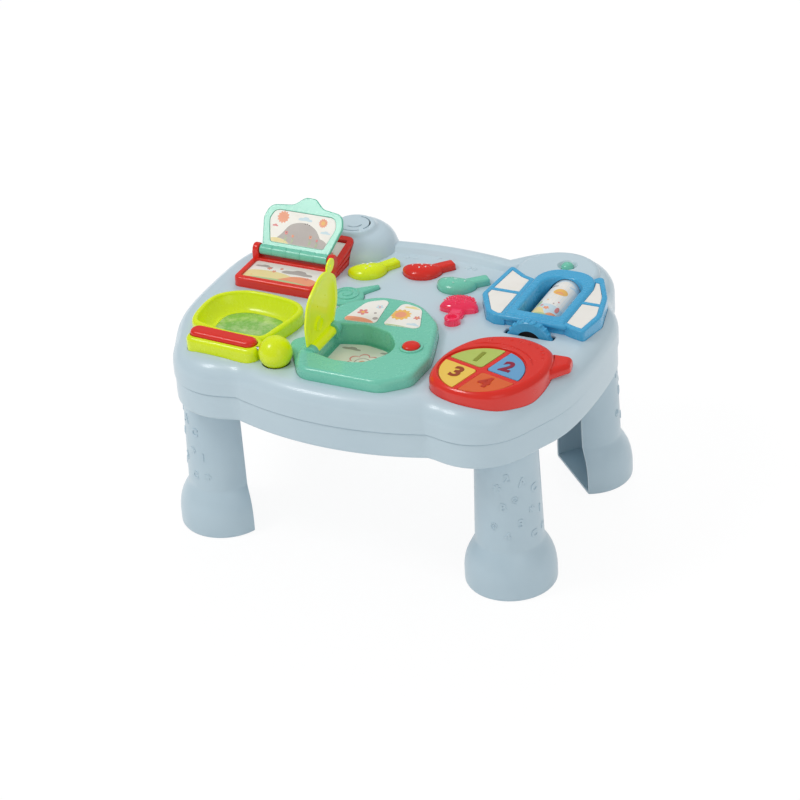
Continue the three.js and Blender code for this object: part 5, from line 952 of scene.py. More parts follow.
# Printed cards: thin flat shapes over white card, in soft colours
inks = ["white", "grey", "peach", "rose", "sand", "sky", "leaf", "sun", "dark"]
paper = ["cardWhite"] + ["ink" + name.title() for name in inks[1:]]
printing = {"layer": 0.012, "rise": 0.02, "margin": 0.3, "edge": 0.12}
shapes = {
    "cloud": curveThrough([(-0.5, -0.2), (-0.3, -0.28), (0, -0.24), (0.3, -0.28), (0.5, -0.2), (0.46, 0.05), (0.28, 0.12),
                           (0.2, 0.34), (-0.05, 0.42), (-0.2, 0.22), (-0.42, 0.14)]),
    "hill": curveThrough([(-0.62, -0.5), (0, -0.56), (0.62, -0.5), (0.42, 0.02), (0.24, 0.34), (0, 0.46), (-0.26, 0.36),
                          (-0.42, 0.02)]),
    "tulip": fillet([(0, -0.5, 0.2), (0.34, -0.34, 0.2), (0.42, 0.5, 0.05), (0.16, 0.14, 0.05), (0, 0.5, 0.05),
                     (-0.16, 0.14, 0.05), (-0.42, 0.5, 0.05), (-0.34, -0.34, 0.2)]),
    "leaf": curveThrough([(0, -0.5), (0.2, -0.1), (0.1, 0.3), (0, 0.5), (-0.14, 0.25), (-0.2, -0.1)]),
    "tree": curveThrough([(0, -0.5), (0.3, -0.36), (0.4, 0.05), (0.2, 0.42), (0, 0.5), (-0.2, 0.42), (-0.4, 0.05),
                          (-0.3, -0.36)]),
    "dot": circle(0.5, sides=28),
    "flower": flowerLine(5, 0.22, 0.5),
    "rays": flowerLine(12, 0.34, 0.5),
    "bloom": flowerLine(7, 13.4, 18.6, 140),
    "heart": flowerLine(7, 11.8, 16.6, 140),
}


def shifted(line, x, y, size=1, degrees=0):
    return leaning(line * size, degrees) + [x, y]


# A mark is (shape, colour, x, y, size), and may end with a turn in degrees
def mark(kind, colour, x, y, size, degrees=0):
    return shifted(shapes[kind], x, y, np.array(size, float), degrees), inks.index(colour)


def printedCard(line, bottom, thickness, marks):
    height = bottom + thickness
    parts = [(softened(prism(line, bottom, height), printing["edge"], 1), 0)]
    edge = prism(inset(line, printing["margin"]), bottom, height + 1)
    for layer, row in enumerate(marks):
        shape, colour = mark(*row)
        flat = prism(shape, height - 0.1, height + printing["rise"] + layer * printing["layer"])
        parts.append((within(flat, edge.copy()), colour))
    return gather(parts)


def showCard(name, node, mesh, body="table"):
    show(name, mesh, paper, body, node)


# Stalks with flowers, from (x, y, height, colour) of each
def flowers(*rows):
    marks = []
    for x, y, height, colour in rows:
        marks += [("leaf", "leaf", x + 1.2, y + height * 0.35, (2.6, height * 0.5), -24),
                  ("leaf", "leaf", x, y + height * 0.4, (1.1, height)),
                  ("tulip", colour, x, y + height * 0.95, height * 0.42)]
    return marks


# Lugs at both ends of a hinge, as (low, high) along its axis
def lugEnds(near, width):
    return [(-near - width, -near), (near, near + width)]


# Book: frame, page and pictures
page = {"angle": 45, "thickness": 4, "foot": 84, "width": 101, "height": 68, "corner": 13,
        "outline": [(0.5, 0.556, 1), (0.46, 0.794, 1), (0.2, 0.846, 1), (0.08, 1, 0.6), (-0.05, 1, 0.6), (-0.17, 0.846, 1),
                    (-0.46, 0.794, 1), (-0.5, 0.556, 1)],
        "opening": [(-0.337, 0.147, 0.3), (0.337, 0.147, 0.3), (0.421, 0.543, 1), (0.379, 0.724, 1), (-0.379, 0.724, 1),
                    (-0.421, 0.543, 1)], "plateEdge": 1.3, "depth": 1.5, "grooves": (-27, -9, 9, 27),
        "groove": (0.6, 0.35, 0.45), "card": 0.6}
bookFront = [("hill", "sand", -16, -36, (78, 22)), ("hill", "peach", 26, -37, (52, 18)),
             ("cloud", "grey", 14, -22, (38, 15)), ("cloud", "grey", -30, -18, (22, 8)),
             ("hill", "leaf", 0, -47, (104, 12))]
bookFront += [("flower", "rose", x, y, s) for x, y, s in ((-22, -21, 6), (-14, -26, 5), (-8, -18, 4.4), (30, -31, 5))]
bookFront += [("dot", "sun", x, y, 1.6)
              for x, y in ((-22, -21), (-14, -26), (-8, -18), (30, -31), (-36, -40), (38, -42))]
bookBack = [("hill", "sky", -20, 24, (60, 18)), ("hill", "sand", 22, 20, (56, 18)), ("rays", "sun", -26, 36, 9),
            *flowers((-6, 12, 15, "rose"), (10, 13, 18, "peach"), (34, 12, 14, "rose"))]
pageFront = [("hill", "grey", 2, 21, (58, 36)), ("hill", "grey", 24, 13, (36, 20)), ("hill", "sand", -26, 9, (40, 15)),
             ("rays", "peach", -26, 41, 15), ("dot", "peach", -26, 41, 8), ("cloud", "sky", 2, 42, (17, 7)),
             ("rays", "peach", 25, 41, 11), ("dot", "sun", 25, 41, 5), ("cloud", "rose", -33, 30, (7, 4)),
             ("cloud", "sky", 31, 30, (12, 5)),
             *flowers((-17, 11, 13, "rose"), (-8, 11, 10, "peach"), (14, 11, 12, "peach"), (23, 11, 9, "rose"))]
pageFront += [("dot", "dark", x, y, 1.2) for x, y in ((-17, 23.6), (14, 22.6), (6, 37), (9, 36), (3.4, 36.6))]
pageBack = [("hill", "sky", 8, 15, (78, 30)), ("hill", "leaf", -16, 10, (52, 16)), ("rays", "sun", 20, 38, 14),
            ("cloud", "grey", -16, 38, (20, 9)), ("cloud", "grey", -2, 30, (13, 5)),
            *flowers((-24, 11, 14, "peach"), (-14, 11, 11, "rose"), (2, 11, 15, "peach"), (24, 11, 11, "rose"))]


def buildBookFrame():
    base, frontTop, backTop = top - book["skirt"], top + book["frontRise"], top + book["backRise"]
    half, length, corner, inward = book["width"] / 2, book["backLength"], book["corner"], book["trayInset"]
    hinge, barrelHalf = top + book["hingeRise"], book["barrelLength"] / 2 + keyGap
    slope = (backTop - frontTop) / length
    front = rounded(rectangle(-half, half, -book["frontLength"], 8, corner), base, frontTop, book["edge"], 8)
    back, under, sides = book["coreInset"]
    core = [(0, base), (length - back, base), (length - back, backTop - under), (0, frontTop - under)]
    skirt = prism(rectangle(-half, half, 0, length, corner), base, top + book["skirtRise"])
    pitch = (backTop - top) / book["layers"]
    thick, leaves = pitch - book["layerGap"], []
    for i in range(book["layers"]):
        drop = i * pitch
        side = [(0, frontTop - (drop + thick) / 2), (length, backTop - drop - thick), (length, backTop - drop),
                (0, frontTop - drop / 2)]
        leaf = within(sideProfile(side, book["width"]), prism(bookLine, base, backTop + 2))
        leaves.append(softened(leaf, book["leafEdge"], 3, 50))
    body = joined(front, sideProfile(core, book["width"] - sides), skirt, *leaves)
    lugs = []
    for low, high in lugEnds(barrelHalf, book["lugWidth"]):
        lugs.append(rodAlong("X", book["lugRadius"], low, high, 0, hinge, 48, 2))
        foot = rectangle(low, high, -book["lugRadius"], book["lugRadius"])
        lugs.append(softened(prism(foot, frontTop - book["lugFoot"], hinge), 1, 3))
    body = joined(body, *lugs)
    tray, room, end = half - inward, book["barrel"] + book["pageRoom"], length - inward
    floor, front = frontTop - book["trayDepth"], inward - book["frontLength"]
    rear = [(room, floor + room * slope), (end, floor + end * slope), (end, backTop + 3), (room, backTop + 3)]
    cuts = [lipped(rectangle(-tray, tray, front, -room, 4), floor, frontTop, 1), sideProfile(rear, tray * 2),
            rodAlong("X", book["barrel"] + book["barrelRoom"], -barrelHalf, barrelHalf, 0, hinge)]
    show("bookFrame", placed(without(body, *cuts), book), "red", "table", "book_frame")

    inner = tray - fitGap
    line = rectangle(-inner, inner, front + fitGap, -room - fitGap, 3.7)
    sheet = printedCard(line, floor + fitGap, book["card"], bookFront)
    showCard("frontPicture", "book_front_picture", placed(sheet, book))
    sheet = printedCard(rectangle(-inner, inner, room + fitGap, end - fitGap, 1), 0, book["card"], bookBack)
    angle = math.atan(slope)
    tilt = Matrix.Translation((0, 0, floor + fitGap / math.cos(angle))) @ rotation(angle, "X")
    showCard("backPicture", "book_back_picture", placed(turnedBy(sheet, tilt), book))


def buildPage():
    foot, half, low = page["foot"] / 2, page["thickness"] / 2, page["thickness"] / 2 - page["depth"]
    corners = cornersOf(page["outline"], page["width"], page["height"], page["corner"])
    line = fillet([(-foot, 3, 0), (foot, 3, 0)] + corners)
    opening = shapedBy(page["opening"], page, "width", "height")
    turnOver = rotation(math.pi, "Y")
    plate = without(pillow(line, -half, half, page["plateEdge"]), lipped(opening, low, half, 0.5, 3),
                    turnedBy(lipped(opening, low, half, 0.5, 3), turnOver))
    r, end = book["barrel"], book["barrelLength"] / 2
    profile = [(0, -end), (r - 1, -end), (r - 0.3, 0.3 - end), (r, 1 - end)]
    wide, narrow, deep = page["groove"]
    for place in page["grooves"]:
        profile += [(r, place - wide), (r - deep, place - narrow), (r - deep, place + narrow), (r, place + wide)]
    profile += [(r, end - 1), (r - 0.3, end - 0.3), (r - 1, end), (0, end)]
    barrel = turnedBy(revolve(profile, 64), rotation(math.pi / 2, "Y"))
    body = without(joined(plate, barrel), rodAlong("X", book["pinBore"], -50, 50, 0, 0))
    tilt = Matrix.Translation((book["x"], book["y"], top + book["hingeRise"]))
    tilt = tilt @ rotation(math.radians(page["angle"]), "X")
    show("bookPage", turnedBy(body, tilt), "mint", "page", "book_page")
    for side, marks, steps in (("Front", pageFront, (tilt,)), ("Back", pageBack, (turnOver, tilt))):
        card = printedCard(inset(opening, fitGap), low + fitGap, page["card"], marks)
        showCard("pagePicture" + side, "page_" + side.lower() + "_picture", turnedBy(card, *steps), "page")


# Basin, bar, long key and ball
def buildBasin():
    base, height, floor = top - basin["skirt"], top + basin["rise"], top + basin["floorRise"]
    share, edge, axis = basin["floorShare"], basin["rimEdge"], top + ball["rise"]
    low = top + longKey["floorRise"] + longKey["travel"] + fitGap
    body = placed(rounded(basinLine, base, height, basin["edge"], 8), basin)
    front = placed(rounded(barLine, base, top + bar["rise"], bar["edge"], 8), bar)
    rim = inset(basinLine, basin["rimWidth"])
    rings = [ring(drawnIn(rim, share + (1 - share) * t), floor + (height - basin["rimDrop"] - floor) * t ** basin["curve"])
             for t in np.linspace(0, 1, 9)]
    rings += [ring(inset(rim, amount), z) for amount, z in roundOver(edge, height, 5, -1) + [(-edge - 0.6, height + 2)]]
    cuts = [placed(loft(rings), basin), placed(prism(drawnIn(rim, share), floor - basin["pane"] - fitGap, floor + 1), basin),
            placed(prism(drawnIn(rim, share * 0.9), base - 2, floor), basin),
            placed(lipped(inset(longKeyLine, -keyGap), low - longKey["travel"] - 2 * fitGap, top + bar["rise"],
                          longKey["lip"]), longKey),
            moved(sphere(ball["radius"] + ball["clearance"]), ball["x"], ball["y"], axis),
            rodAlong("X", ball["bore"], ball["x"] - ball["axle"], ball["x"], ball["y"], axis)]
    show("basinFrame", without(joined(body, front), *cuts), "lime", "table", "basin_frame")
    pane = softened(prism(inset(drawnIn(rim, share), fitGap), floor - basin["pane"], floor), 0.25)
    show("basinWindow", placed(pane, basin), "windowGreen", "table", "basin_window")
    key = rounded(longKeyLine, low, top + longKey["rise"], longKey["edge"], 8)
    show("longKey", placed(key, longKey), "red", "long_key", "basin_key")
    r = ball["radius"]
    globe = without(turnedBy(sphere(r, sides=72), rotation(math.pi / 2, "Y")),
                    rodAlong("X", ball["bore"], -r - 2, r - 4, 0, 0))
    show("rollingBall", moved(globe, ball["x"], ball["y"], axis), "lime", "ball", "basin_ball")


buildBookFrame()
buildPage()
buildBasin()
print("book and basin made")


# Door box: its well, lid, button, panels and pictures
sunPicture = [("rays", "sun", 20, -30, 24), ("dot", "peach", 20, -30, 13), ("cloud", "sky", 42, -46, (15, 8)),
              ("cloud", "sand", 26, -12, (18, 7)), ("flower", "rose", 40, -31, 8), ("dot", "sun", 40, -31, 2.4),
              ("hill", "leaf", 28, -57, (52, 10))]
flowerPicture = [("hill", "peach", -20, -56, (46, 14)), ("flower", "rose", -22, -38, 13), ("dot", "sun", -22, -38, 4),
                 ("flower", "sky", -9, -22, 9), ("dot", "rose", -9, -22, 2.6), ("dot", "grey", -3, -47, 6),
                 ("dot", "grey", -8, -36, 3.4)]
wellPicture = [("hill", "sky", 50, -32, (90, 18)), ("cloud", "grey", 20, 24, (22, 9)),
               ("cloud", "grey", 64, 26, (20, 8)), ("bloom", "rose", 44, 0, 1), ("heart", "white", 44, 0, 1),
               ("dot", "grey", 44, 0, 19), ("dot", "white", 44, 0, 16), ("dot", "peach", 44, 0, 8),
               ("flower", "rose", 66, 4, 9), ("dot", "sun", 66, 4, 2.6)]


def buildDoor():
    base, height, flank = top - door["skirt"], top + door["rise"], top + door["flankRise"]
    pivotX, pivotZ, y = well["x"] - lid["pivotInset"], height - lid["pivotDrop"], well["y"]
    room, reach, (slot, slotDepth) = lid["barrel"] + 0.6, lid["half"] + lid["sideGap"], lid["slot"]
    left, right, step, deep, under = lid["lugFoot"]
    ringRadius, edge = lidButton["ring"], lidButton["ringEdge"]
    body = joined(placed(rounded(doorLine, base, height, door["edge"], 8), door),
                  placed(rounded(flankLine, base, flank, door["flankEdge"], 6), door))
    ringBase, seat, (mouth, throat) = height + lidButton["ringBase"], height + lidButton["seat"], lidButton["mouth"]
    collar = [(0, height - overrun), (ringRadius, height - overrun), (ringRadius, ringBase)]
    collar += [(ringRadius - edge * (1 - math.cos(a)), ringBase + edge * math.sin(a)) for a in quarter(4)]
    collar += [(mouth, height + lidButton["ringRise"]), (throat, seat), (0, seat)]
    cuts = [placed(lipped(wellLine, top - well["depth"], height, well["lip"]), well),
            rodAlong("Y", room, y - reach, y + reach, pivotX, pivotZ),
            prism(rectangle(pivotX - room, pivotX + slot, y - reach, y + reach), height - slotDepth, height + 3)]
    cuts += [lipped(inset(fillet(corners), -fitGap), height - door["panelDepth"], height, 0.4, 3)
             for corners in (leftPanel, rightPanel)]
    body = without(body, *cuts)
    parts = [placed(revolve(collar, 72), lidButton)]
    for low, high in lugEnds(reach, lid["lugWidth"]):
        parts.append(rodAlong("Y", lid["lugRadius"], y + low, y + high, pivotX, pivotZ, 48, 1.6))
        foot = rectangle(pivotX - left, pivotX + right, y + low + step, y + high - step)
        parts.append(prism(foot, height - deep, height - under))
    body = joined(body, *parts, placed(rod(door["ribRadius"], top - well["depth"], height - 5), door["rib"]))
    button = placed(rod(lidButton["radius"] + keyGap, base - 1, height + 4), lidButton)
    bore = rodAlong("Y", lid["bore"], y - reach - 0.5, y + reach + 0.5, pivotX, pivotZ)
    show("doorBox", without(body, button, bore), "mint", "table", "door_box")
    cap = domed(circle(lidButton["radius"]), height - 5, height + 1.6, top + lidButton["rise"], 12)
    show("lidButton", placed(cap, lidButton), "red", "lid_release", "lid_button")
    for side, corners, marks in (("right", rightPanel, sunPicture), ("left", leftPanel, flowerPicture)):
        card = printedCard(fillet(corners), height - door["panel"], door["panel"] + fitGap, marks)
        showCard(side + "Panel", side + "_panel", card)
    sheet = printedCard(inset(wellLine, well["cardInset"]), top - well["depth"] + fitGap, well["card"], wellPicture)
    showCard("wellPicture", "well_picture", placed(sheet, well))


# Rings that draw in from a rim while a skin rises, as a dish or a crown
def crownRings(line, shares, start, rise):
    first, last = shares
    return [ring(drawnIn(line, first + (last - first) * t), start + rise * math.sin(t * math.pi / 2) ** lid["curve"])
            for t in np.linspace(0, 1, 7)[1:]]


def buildLid():
    line = inset(wellLine, lid["clearance"])
    half, (low, shoulder, crownLow, crownRise) = lid["half"], lid["skin"]
    inward, upward = lid["edge"]
    rings = [ring(inset(line, 0), low), ring(inset(line, 0), shoulder)]
    rings += [ring(inset(line, inward * (1 - math.cos(a))), shoulder + upward * math.sin(a)) for a in quarter(4)[1:]]
    skin = loft(rings + crownRings(line, lid["crown"], crownLow, crownRise))
    dishHeight, dishRise = lid["dishSkin"]
    dish = drawnIn(line, lid["dish"][0])
    cup = loft([ring(dish, 0), ring(dish, dishHeight)] + crownRings(line, lid["dish"], dishHeight, dishRise))
    tabX, tabY, tabRadius = lid["tab"]
    tabLow, tabHigh = lid["tabHeights"]
    ear = moved(rounded(circle(tabRadius), tabLow, tabHigh, 0.9, 4), tabX, tabY)
    bossX, outer, inner = lid["boss"]
    bossLow, bossHigh, bossOpen, bossRoof = lid["bossHeights"]
    boss = moved(without(rod(outer, bossLow, bossHigh), rod(inner, bossOpen, bossRoof)), bossX)
    body = joined(without(skin, cup), ear, within(boss, loft([ring(line, 1), ring(line, 9)])))
    body = moved(without(body, moved(rod(lid["tabHole"], 0, 12, 32), tabX, tabY)), lid["pivotInset"])
    stops = [rodAlong("Y", lid["lugRadius"] + 0.5, *ends, 0, 0) for ends in lugEnds(half, lid["stopWidth"])]
    webReach, webTop = lid["web"]
    web = prism(rectangle(0, webReach, -half, half), low, webTop)
    body = joined(without(body, *stops), rodAlong("Y", lid["barrel"], -half, half, 0, 0, 48, 0.8), web)
    body = without(body, rodAlong("Y", lid["bore"], -30, 30, 0, 0))
    place = Matrix.Translation((well["x"] - lid["pivotInset"], well["y"], top + door["rise"] - lid["pivotDrop"]))
    opened = place @ rotation(math.radians(-lid["openAngle"]), "Y")
    show("doorLid", turnedBy(body, opened), "lidLime", "lid", "door_lid")


# Keys: snail, mushrooms and lamp
flecks = {"lime": [(-9, 4, 1.4), (-4, 8, 2), (0, 3.5, 1.8), (4.5, 8.5, 2.1), (9, 4, 1.5), (2, -2, 1.1), (-3, -5, 0.9)],
          "red": [(-10, 3, 1.5), (-5, 7.5, 2.1), (0, 4, 1.7), (5, 8, 2.2), (10, 3.5, 1.4), (-2, -3, 1.1), (5, -1, 0.9)],
          "mint": [(-11, 2, 1.6), (-6, 7, 2.3), (0, 3, 2), (6, 7.5, 2.2), (11, 2, 1.6), (0, -5, 1.2)]}


# Height of a rounded cap over a point
def skinHeight(x, y, width, length, shoulder, height):
    reach = min(math.hypot(x / (width / 2), y / (length / 2)), 1)
    return shoulder + (height - shoulder) * math.sqrt(1 - reach ** 2)


# The flat rims under a key's outlines, which the table's top holds down
def rims(*lines):
    return [prism(inset(line, -flange["width"]), top - flange["low"], top - flange["top"]) for line in lines]


def onSkin(piece, points, sink):
    low, high = top + piece["shoulder"], top + piece["rise"]
    return [(x, y, skinHeight(x, y, piece["width"], piece["length"], low, high) - sink) for x, y in points]


def buildMushrooms():
    low, height = top - flange["foot"], top + mushroom["rise"]
    for name, place in mushroomPlaces.items():
        stem = leaning(stemLine, place["lean"])
        cap = domed(capLine, low, top + mushroom["shoulder"], height, 14)
        body = joined(cap, rounded(stem, low, top + mushroom["stemRise"], 3.4, 6), *rims(capLine, stem))
        parts = [(placed(body, place), 0)]
        for size in sorted({s for _, _, s in flecks[name]}):
            points = onSkin(mushroom, [(x, y) for x, y, s in flecks[name] if s == size], 0.15)
            dots = repeated(beads, points, Radius=size, Flatness=0.35, Variation=0.12, Seed=int(size * 10))
            parts.append((placed(dots, place), 1))
        looks = [name, "fleckMint" if name == "mint" else "fleckWhite"]
        show("mushroomKey_" + name, gather(parts), looks, name + "_mushroom", "mushroom_key_" + name)


def buildSnail():
    low, radius, (first, last), start = top - flange["foot"], snail["radius"], snail["coils"], snail["coilStart"]
    body = domed(circle(radius, sides=80), low, top + snail["shoulder"], top + snail["rise"], 12)
    tail = rounded(tailLine, low, top + snail["tailRise"], snail["tailTip"], 6)
    spiral = []
    for t in np.linspace(first, last, 110):
        r = start + (radius - snail["coilEdge"] - start) * (t / last)
        z = skinHeight(r, 0, snail["crown"], snail["crown"], top + snail["shoulder"], top + snail["rise"]) - 0.1
        around = t + snail["coilTurn"]
        spiral.append((r * math.cos(around), r * math.sin(around), z))
    rim = rod(radius + flange["width"], top - flange["low"], top - flange["top"], 64)
    body = joined(body, tail, rim, *rims(tailLine))
    body = gather([(body, 0), (tube(spiral, snail["coil"], 10), 0)])
    show("snailKey", placed(body, snail), "mint", "snail", "snail_key")


def buildLamp():
    low, (knobX, knobY, knobRadius) = top - lamp["depth"], lamp["knob"]
    (stepX, stepY), (reachX, reachY) = lamp["studPitch"], lamp["studReach"]
    cap = domed(lampLine, low, top + lamp["shoulder"], top + lamp["rise"], 14)
    stem = rounded(lampStemLine, low, top + lamp["stemRise"], 4, 6)
    knob = moved(rounded(circle(knobRadius), low, top + lamp["knobRise"], 2, 6), knobX, knobY)
    dent = moved(lipped(circle(lamp["knobHole"]), top + 4, top + lamp["knobRise"], 1), knobX, knobY)
    led = placed(rod(lamp["ledRoom"], low - 2, top + 4), {"x": lamp["x"], "y": lamp["y"]})
    body = without(joined(placed(joined(cap, stem), lamp), knob), dent, led)
    grid = [(x * stepX + (y % 2) * stepX / 2, y * stepY) for x in range(-7, 8) for y in range(-6, 7)]
    points = onSkin(lamp, [(x, y) for x, y in grid if (x / reachX) ** 2 + ((y + 1.2) / reachY) ** 2 < 1], 0.05)
    studs = placed(repeated(beads, points, Radius=lamp["stud"], Flatness=0.45, Variation=0.05), lamp)
    show("mushroomLamp", gather([(body, 0), (studs, 0)]), "lampRed", "table", "mushroom_lamp")


# The part of an outline that lies between two values of y
def band(outline, low, high):
    points = [tuple(p) for p in outline]
    for side, limit in ((1, low), (-1, high)):
        kept = []
        for (x0, y0), (x1, y1) in zip(points, points[1:] + points[:1]):
            if side * y0 >= side * limit:
                kept.append((x0, y0))
            if (y0 - limit) * (y1 - limit) < 0:
                kept.append((x0 + (x1 - x0) * (limit - y0) / (y1 - y0), limit))
        points = kept
    return np.array([p for p, q in zip(points, points[1:] + points[:1]) if math.dist(p, q) > 0.05])


# Window: frame, shutters, panes, drum and thumb wheel
def buildWindow():
    base, height, shutterTop = top - window["skirt"], top + window["rise"], top + window["shutterRise"]
    sillStart, sillEnd, sillY, sillRise, sillRadius = window["sill"]
    body = joined(placed(rounded(windowLine, base, height, window["edge"], 8), window),
                  rodAlong("X", sillRadius, sillStart, sillEnd, sillY, top + sillRise, 40, 3),
                  *[rounded(line, base, shutterTop, window["shutterEdge"], 6) for line in shutterLines])
    cuts = [placed(lipped(openingLine, base - 1, height, 3), window)]
    rods = [(drum["radius"] + 1, drum["front"] - 0.5, drum["back"] + 0.5, 96), (window["bore"], 10, 124, 48)]
    for radius, start, end, sides in rods:
        cuts.append(rodAlong("Y", radius, start, end, window["x"], top - drum["drop"], sides))
    floor, half, panes = shutterTop - window["paneDepth"], window["muntin"] / 2, []
    for name, line in zip(("left", "right"), shutterLines):
        inner = inset(line, window["paneFrame"])
        middle = (line[:, 1].min() + line[:, 1].max()) / 2
        for end, low, high in (("front", 0, middle - half), ("back", middle + half, window["paneEnd"])):
            cuts.append(lipped(band(inner, low, high), floor, shutterTop, 0.5, 3))
            panes.append((name, end, band(inset(line, window["paneFrame"] + fitGap), low + fitGap, high - fitGap)))
    show("windowFrame", without(body, *cuts), "blue", "table", "window_frame")
    for name, end, line in panes:
        sheet = softened(prism(line, floor + fitGap, floor + fitGap + window["pane"]), 0.5, 2)
        show(name + "Pane_" + end, sheet, "cardWhite", "table", name + "_pane_" + end)


# What is printed on the drum: kind, colour, place round it, place along it, size
scenery = [("hill", "white", 2, 60, (60, 52)), ("hill", "sand", -14, 12, (38, 30)), ("hill", "peach", 16, 9, (28, 18)),
           ("hill", "leaf", -2, 4, (44, 14)), ("dot", "sun", 3, 60, (17, 13)), ("cloud", "peach", 3, 58, (10, 5)),
           ("cloud", "grey", -12, 74, (14, 6)), ("cloud", "sky", 14, 76, (13, 6)), ("tree", "leaf", -12, 33, (7, 13)),
           ("tree", "rose", 13, 26, (6, 11)), ("flower", "peach", 1, 22, (7, 7)), ("flower", "rose", -6, 27, (4, 4)),
           ("dot", "sun", -4, 40, (2, 2)), ("dot", "rose", 9, 40, (2, 2)), ("dot", "grey", 5, 34, (2, 2))]


# Rolls a flat layer round the axis Z: x goes round it, y along it, z outwards
def rolledOn(mesh, radius, degrees, start):
    def bend(co):
        return radius + co.z, math.radians(degrees - 90) + co.x / radius, start + co.y
    return bent(mesh, np.arange(-20, 20.1, 2), bend, True)


def buildDrum():
    r, y0, y1, skin = drum["radius"], drum["front"], drum["back"], drum["radius"] - drum["skin"]
    wide, sheetLow, sheetHigh = drum["sheet"]
    end = [(0, 0), (r - 1.6, 0), (r - 0.8, 0.3), (r - 0.4, 1)]  # from the middle of an end to the drum's side
    core = revolve([(x, y0 + z) for x, z in end] + [(x, y1 - z) for x, z in end[::-1]])
    core = without(core, rod(window["bore"], y0 - 1, y1 + 1))
    sheet = revolve([(r - 1, y0 + 1.6), (skin, y0 + 1.6), (skin, y1 - 1.6), (r - 1, y1 - 1.6)])
    parts = [(core, 0), (sheet, inks.index("sky"))]
    for third in range(3):
        for layer, row in enumerate(scenery):
            shape, colour = mark(*row)
            flat = prism(shape, -0.1, printing["rise"] + layer * drum["layer"])
            strip = within(flat, prism(rectangle(-wide / 2, wide / 2, sheetLow, sheetHigh), -1, 2))
            parts.append((rolledOn(strip, skin, third * 120, y0), colour))
    lying = Matrix.Translation((window["x"], 0, top - drum["drop"])) @ rotation(-math.pi / 2, "X")
    show("pictureDrum", turnedBy(gather(parts), lying), paper, "picture_roller", "picture_drum")

    r, half, hub, bore = thumb["radius"], thumb["thickness"] / 2, thumb["hub"], rod(window["bore"], -6, 6)
    rim = [(r - 3.2, half), (r - 2, half - 0.9), (r - 1.6, half - 1.9)]
    wheel = revolve([(0, -2), (hub, -2), (hub, -half), *[(x, -z) for x, z in rim], *rim[::-1], (0, half)])
    wheel = without(wheel, bore.copy())
    teeth = repeated(ridges, [(0, 0, 0)], Count=thumb["ridges"], Rim=r - 1.9, Radius=thumb["ridge"],
                     Length=thumb["ridgeLength"])
    # A black disc in the wheel's hole stands for the hole's shadow: painted shade
    holeShadeDisc = without(rod(hub - 0.4, -2.2, -1.6, 64), bore)
    show("thumbWheel", turnedBy(gather([(wheel, 0), (teeth, 0), (holeShadeDisc, 1)]), lying), ["blue", "blackPlasticAndPaintedShade"],
         "picture_roller", "thumb_wheel")


# Keypad: red housing with its row of beads, and four clear number keys: (joint, turn, digit, key's and digit's colour)
keys = [("one", 75, "1", "Green", "Olive"), ("two", -15, "2", "Blue", "Wine"), ("three", 165, "3", "Yellow", "Brown"),
        ("four", -105, "4", "Orange", "Orange")]
digits = {"size": 27, "reach": 27, "lean": -8, "rise": 0.5, "bold": 0.03}


def keyLine(gap):
    arm, radius = keypad["cross"] / 2 + gap, keypad["dial"][2] - gap
    start = math.asin(arm / radius)
    angles = np.linspace(start, math.pi / 2 - start, 24)
    arc = [(radius * math.cos(a), radius * math.sin(a), 2 if a in (angles[0], angles[-1]) else 0) for a in angles]
    return fillet([(arm, arm, keypad["corner"])] + arc)


def buildKeypad():
    base, height, low = top - keypad["skirt"], top + keypad["rise"], top - keypad["keyDepth"]
    dialX, dialY, dialRadius = keypad["dial"]
    face, dial = height - keypad["dialDepth"], {"x": dialX, "y": dialY}
    body = placed(rounded(keypadLine, base, height, keypad["edge"], 10), keypad)
    nub = placed(domed(nubLine, base, top + 4, top + keypad["nubRise"] - 0.5, 10), keypad)
    leaf = rounded(fillet(keypad["leaf"]), top + fitGap, top + keypad["nubRise"], keypad["leafEdge"], 10)
    cuts = [placed(lipped(circle(dialRadius + keypad["cross"] / 4, sides=120), face, height, 1.2), dial),
            placed(rod(dialRadius + 1.9, top - keypad["membraneDepth"], height - 4.5, 96), dial)]
    cuts += [placed(lipped(keyLine(0), top - 9.2, face, 0.5, 3), {**dial, "turn": row[1]}) for row in keys]
    reach, start, end, groove = keypad["groove"]
    angles = np.radians(np.linspace(start, end, 40))
    arc = [(reach * math.cos(a), reach * math.sin(a), height) for a in angles]
    cuts.append(placed(tube(arc, groove, 10), dial))
    body = without(joined(body, nub, leaf), *cuts)
    crest = inset(keypadLine, keypad["edge"] + 4) + [keypad["x"] - dialX, keypad["y"] - dialY]
    bearing = np.degrees(np.arctan2(crest[:, 1], crest[:, 0]))
    first, last = keypad["beadArc"]
    row = [(x, y, height - 0.3) for (x, y), angle in zip(crest[::3], bearing[::3]) if first < angle < last]
    marks = placed(repeated(beads, row, Radius=keypad["bead"], Flatness=0.5, Variation=0.18, Seed=5), dial)
    show("keypadHousing", gather([(body, 0), (marks, 0)]), "red", "table", "keypad_housing")
    line, keyTop = keyLine(keyGap), face + keypad["proud"]
    for joint, degrees, digit, colour, paint in keys:
        key = joined(rounded(line, low, keyTop, 0.4, 3), prism(inset(line, -1.1), low, face - 2.8))
        around, reach = math.radians(degrees + 45), digits["reach"]
        text = textForm(digit, digits["size"], digits["rise"], digits["bold"])
        text = moved(text, reach * math.cos(around), reach * math.sin(around), keyTop + 0.1, digits["lean"])
        piece = placed(gather([(moved(key, degrees=degrees), 0), (text, 1)]), dial)
        show("numberKey" + digit, piece, ["key" + colour, "digit" + paint], "key_" + joint, "number_key_" + digit)


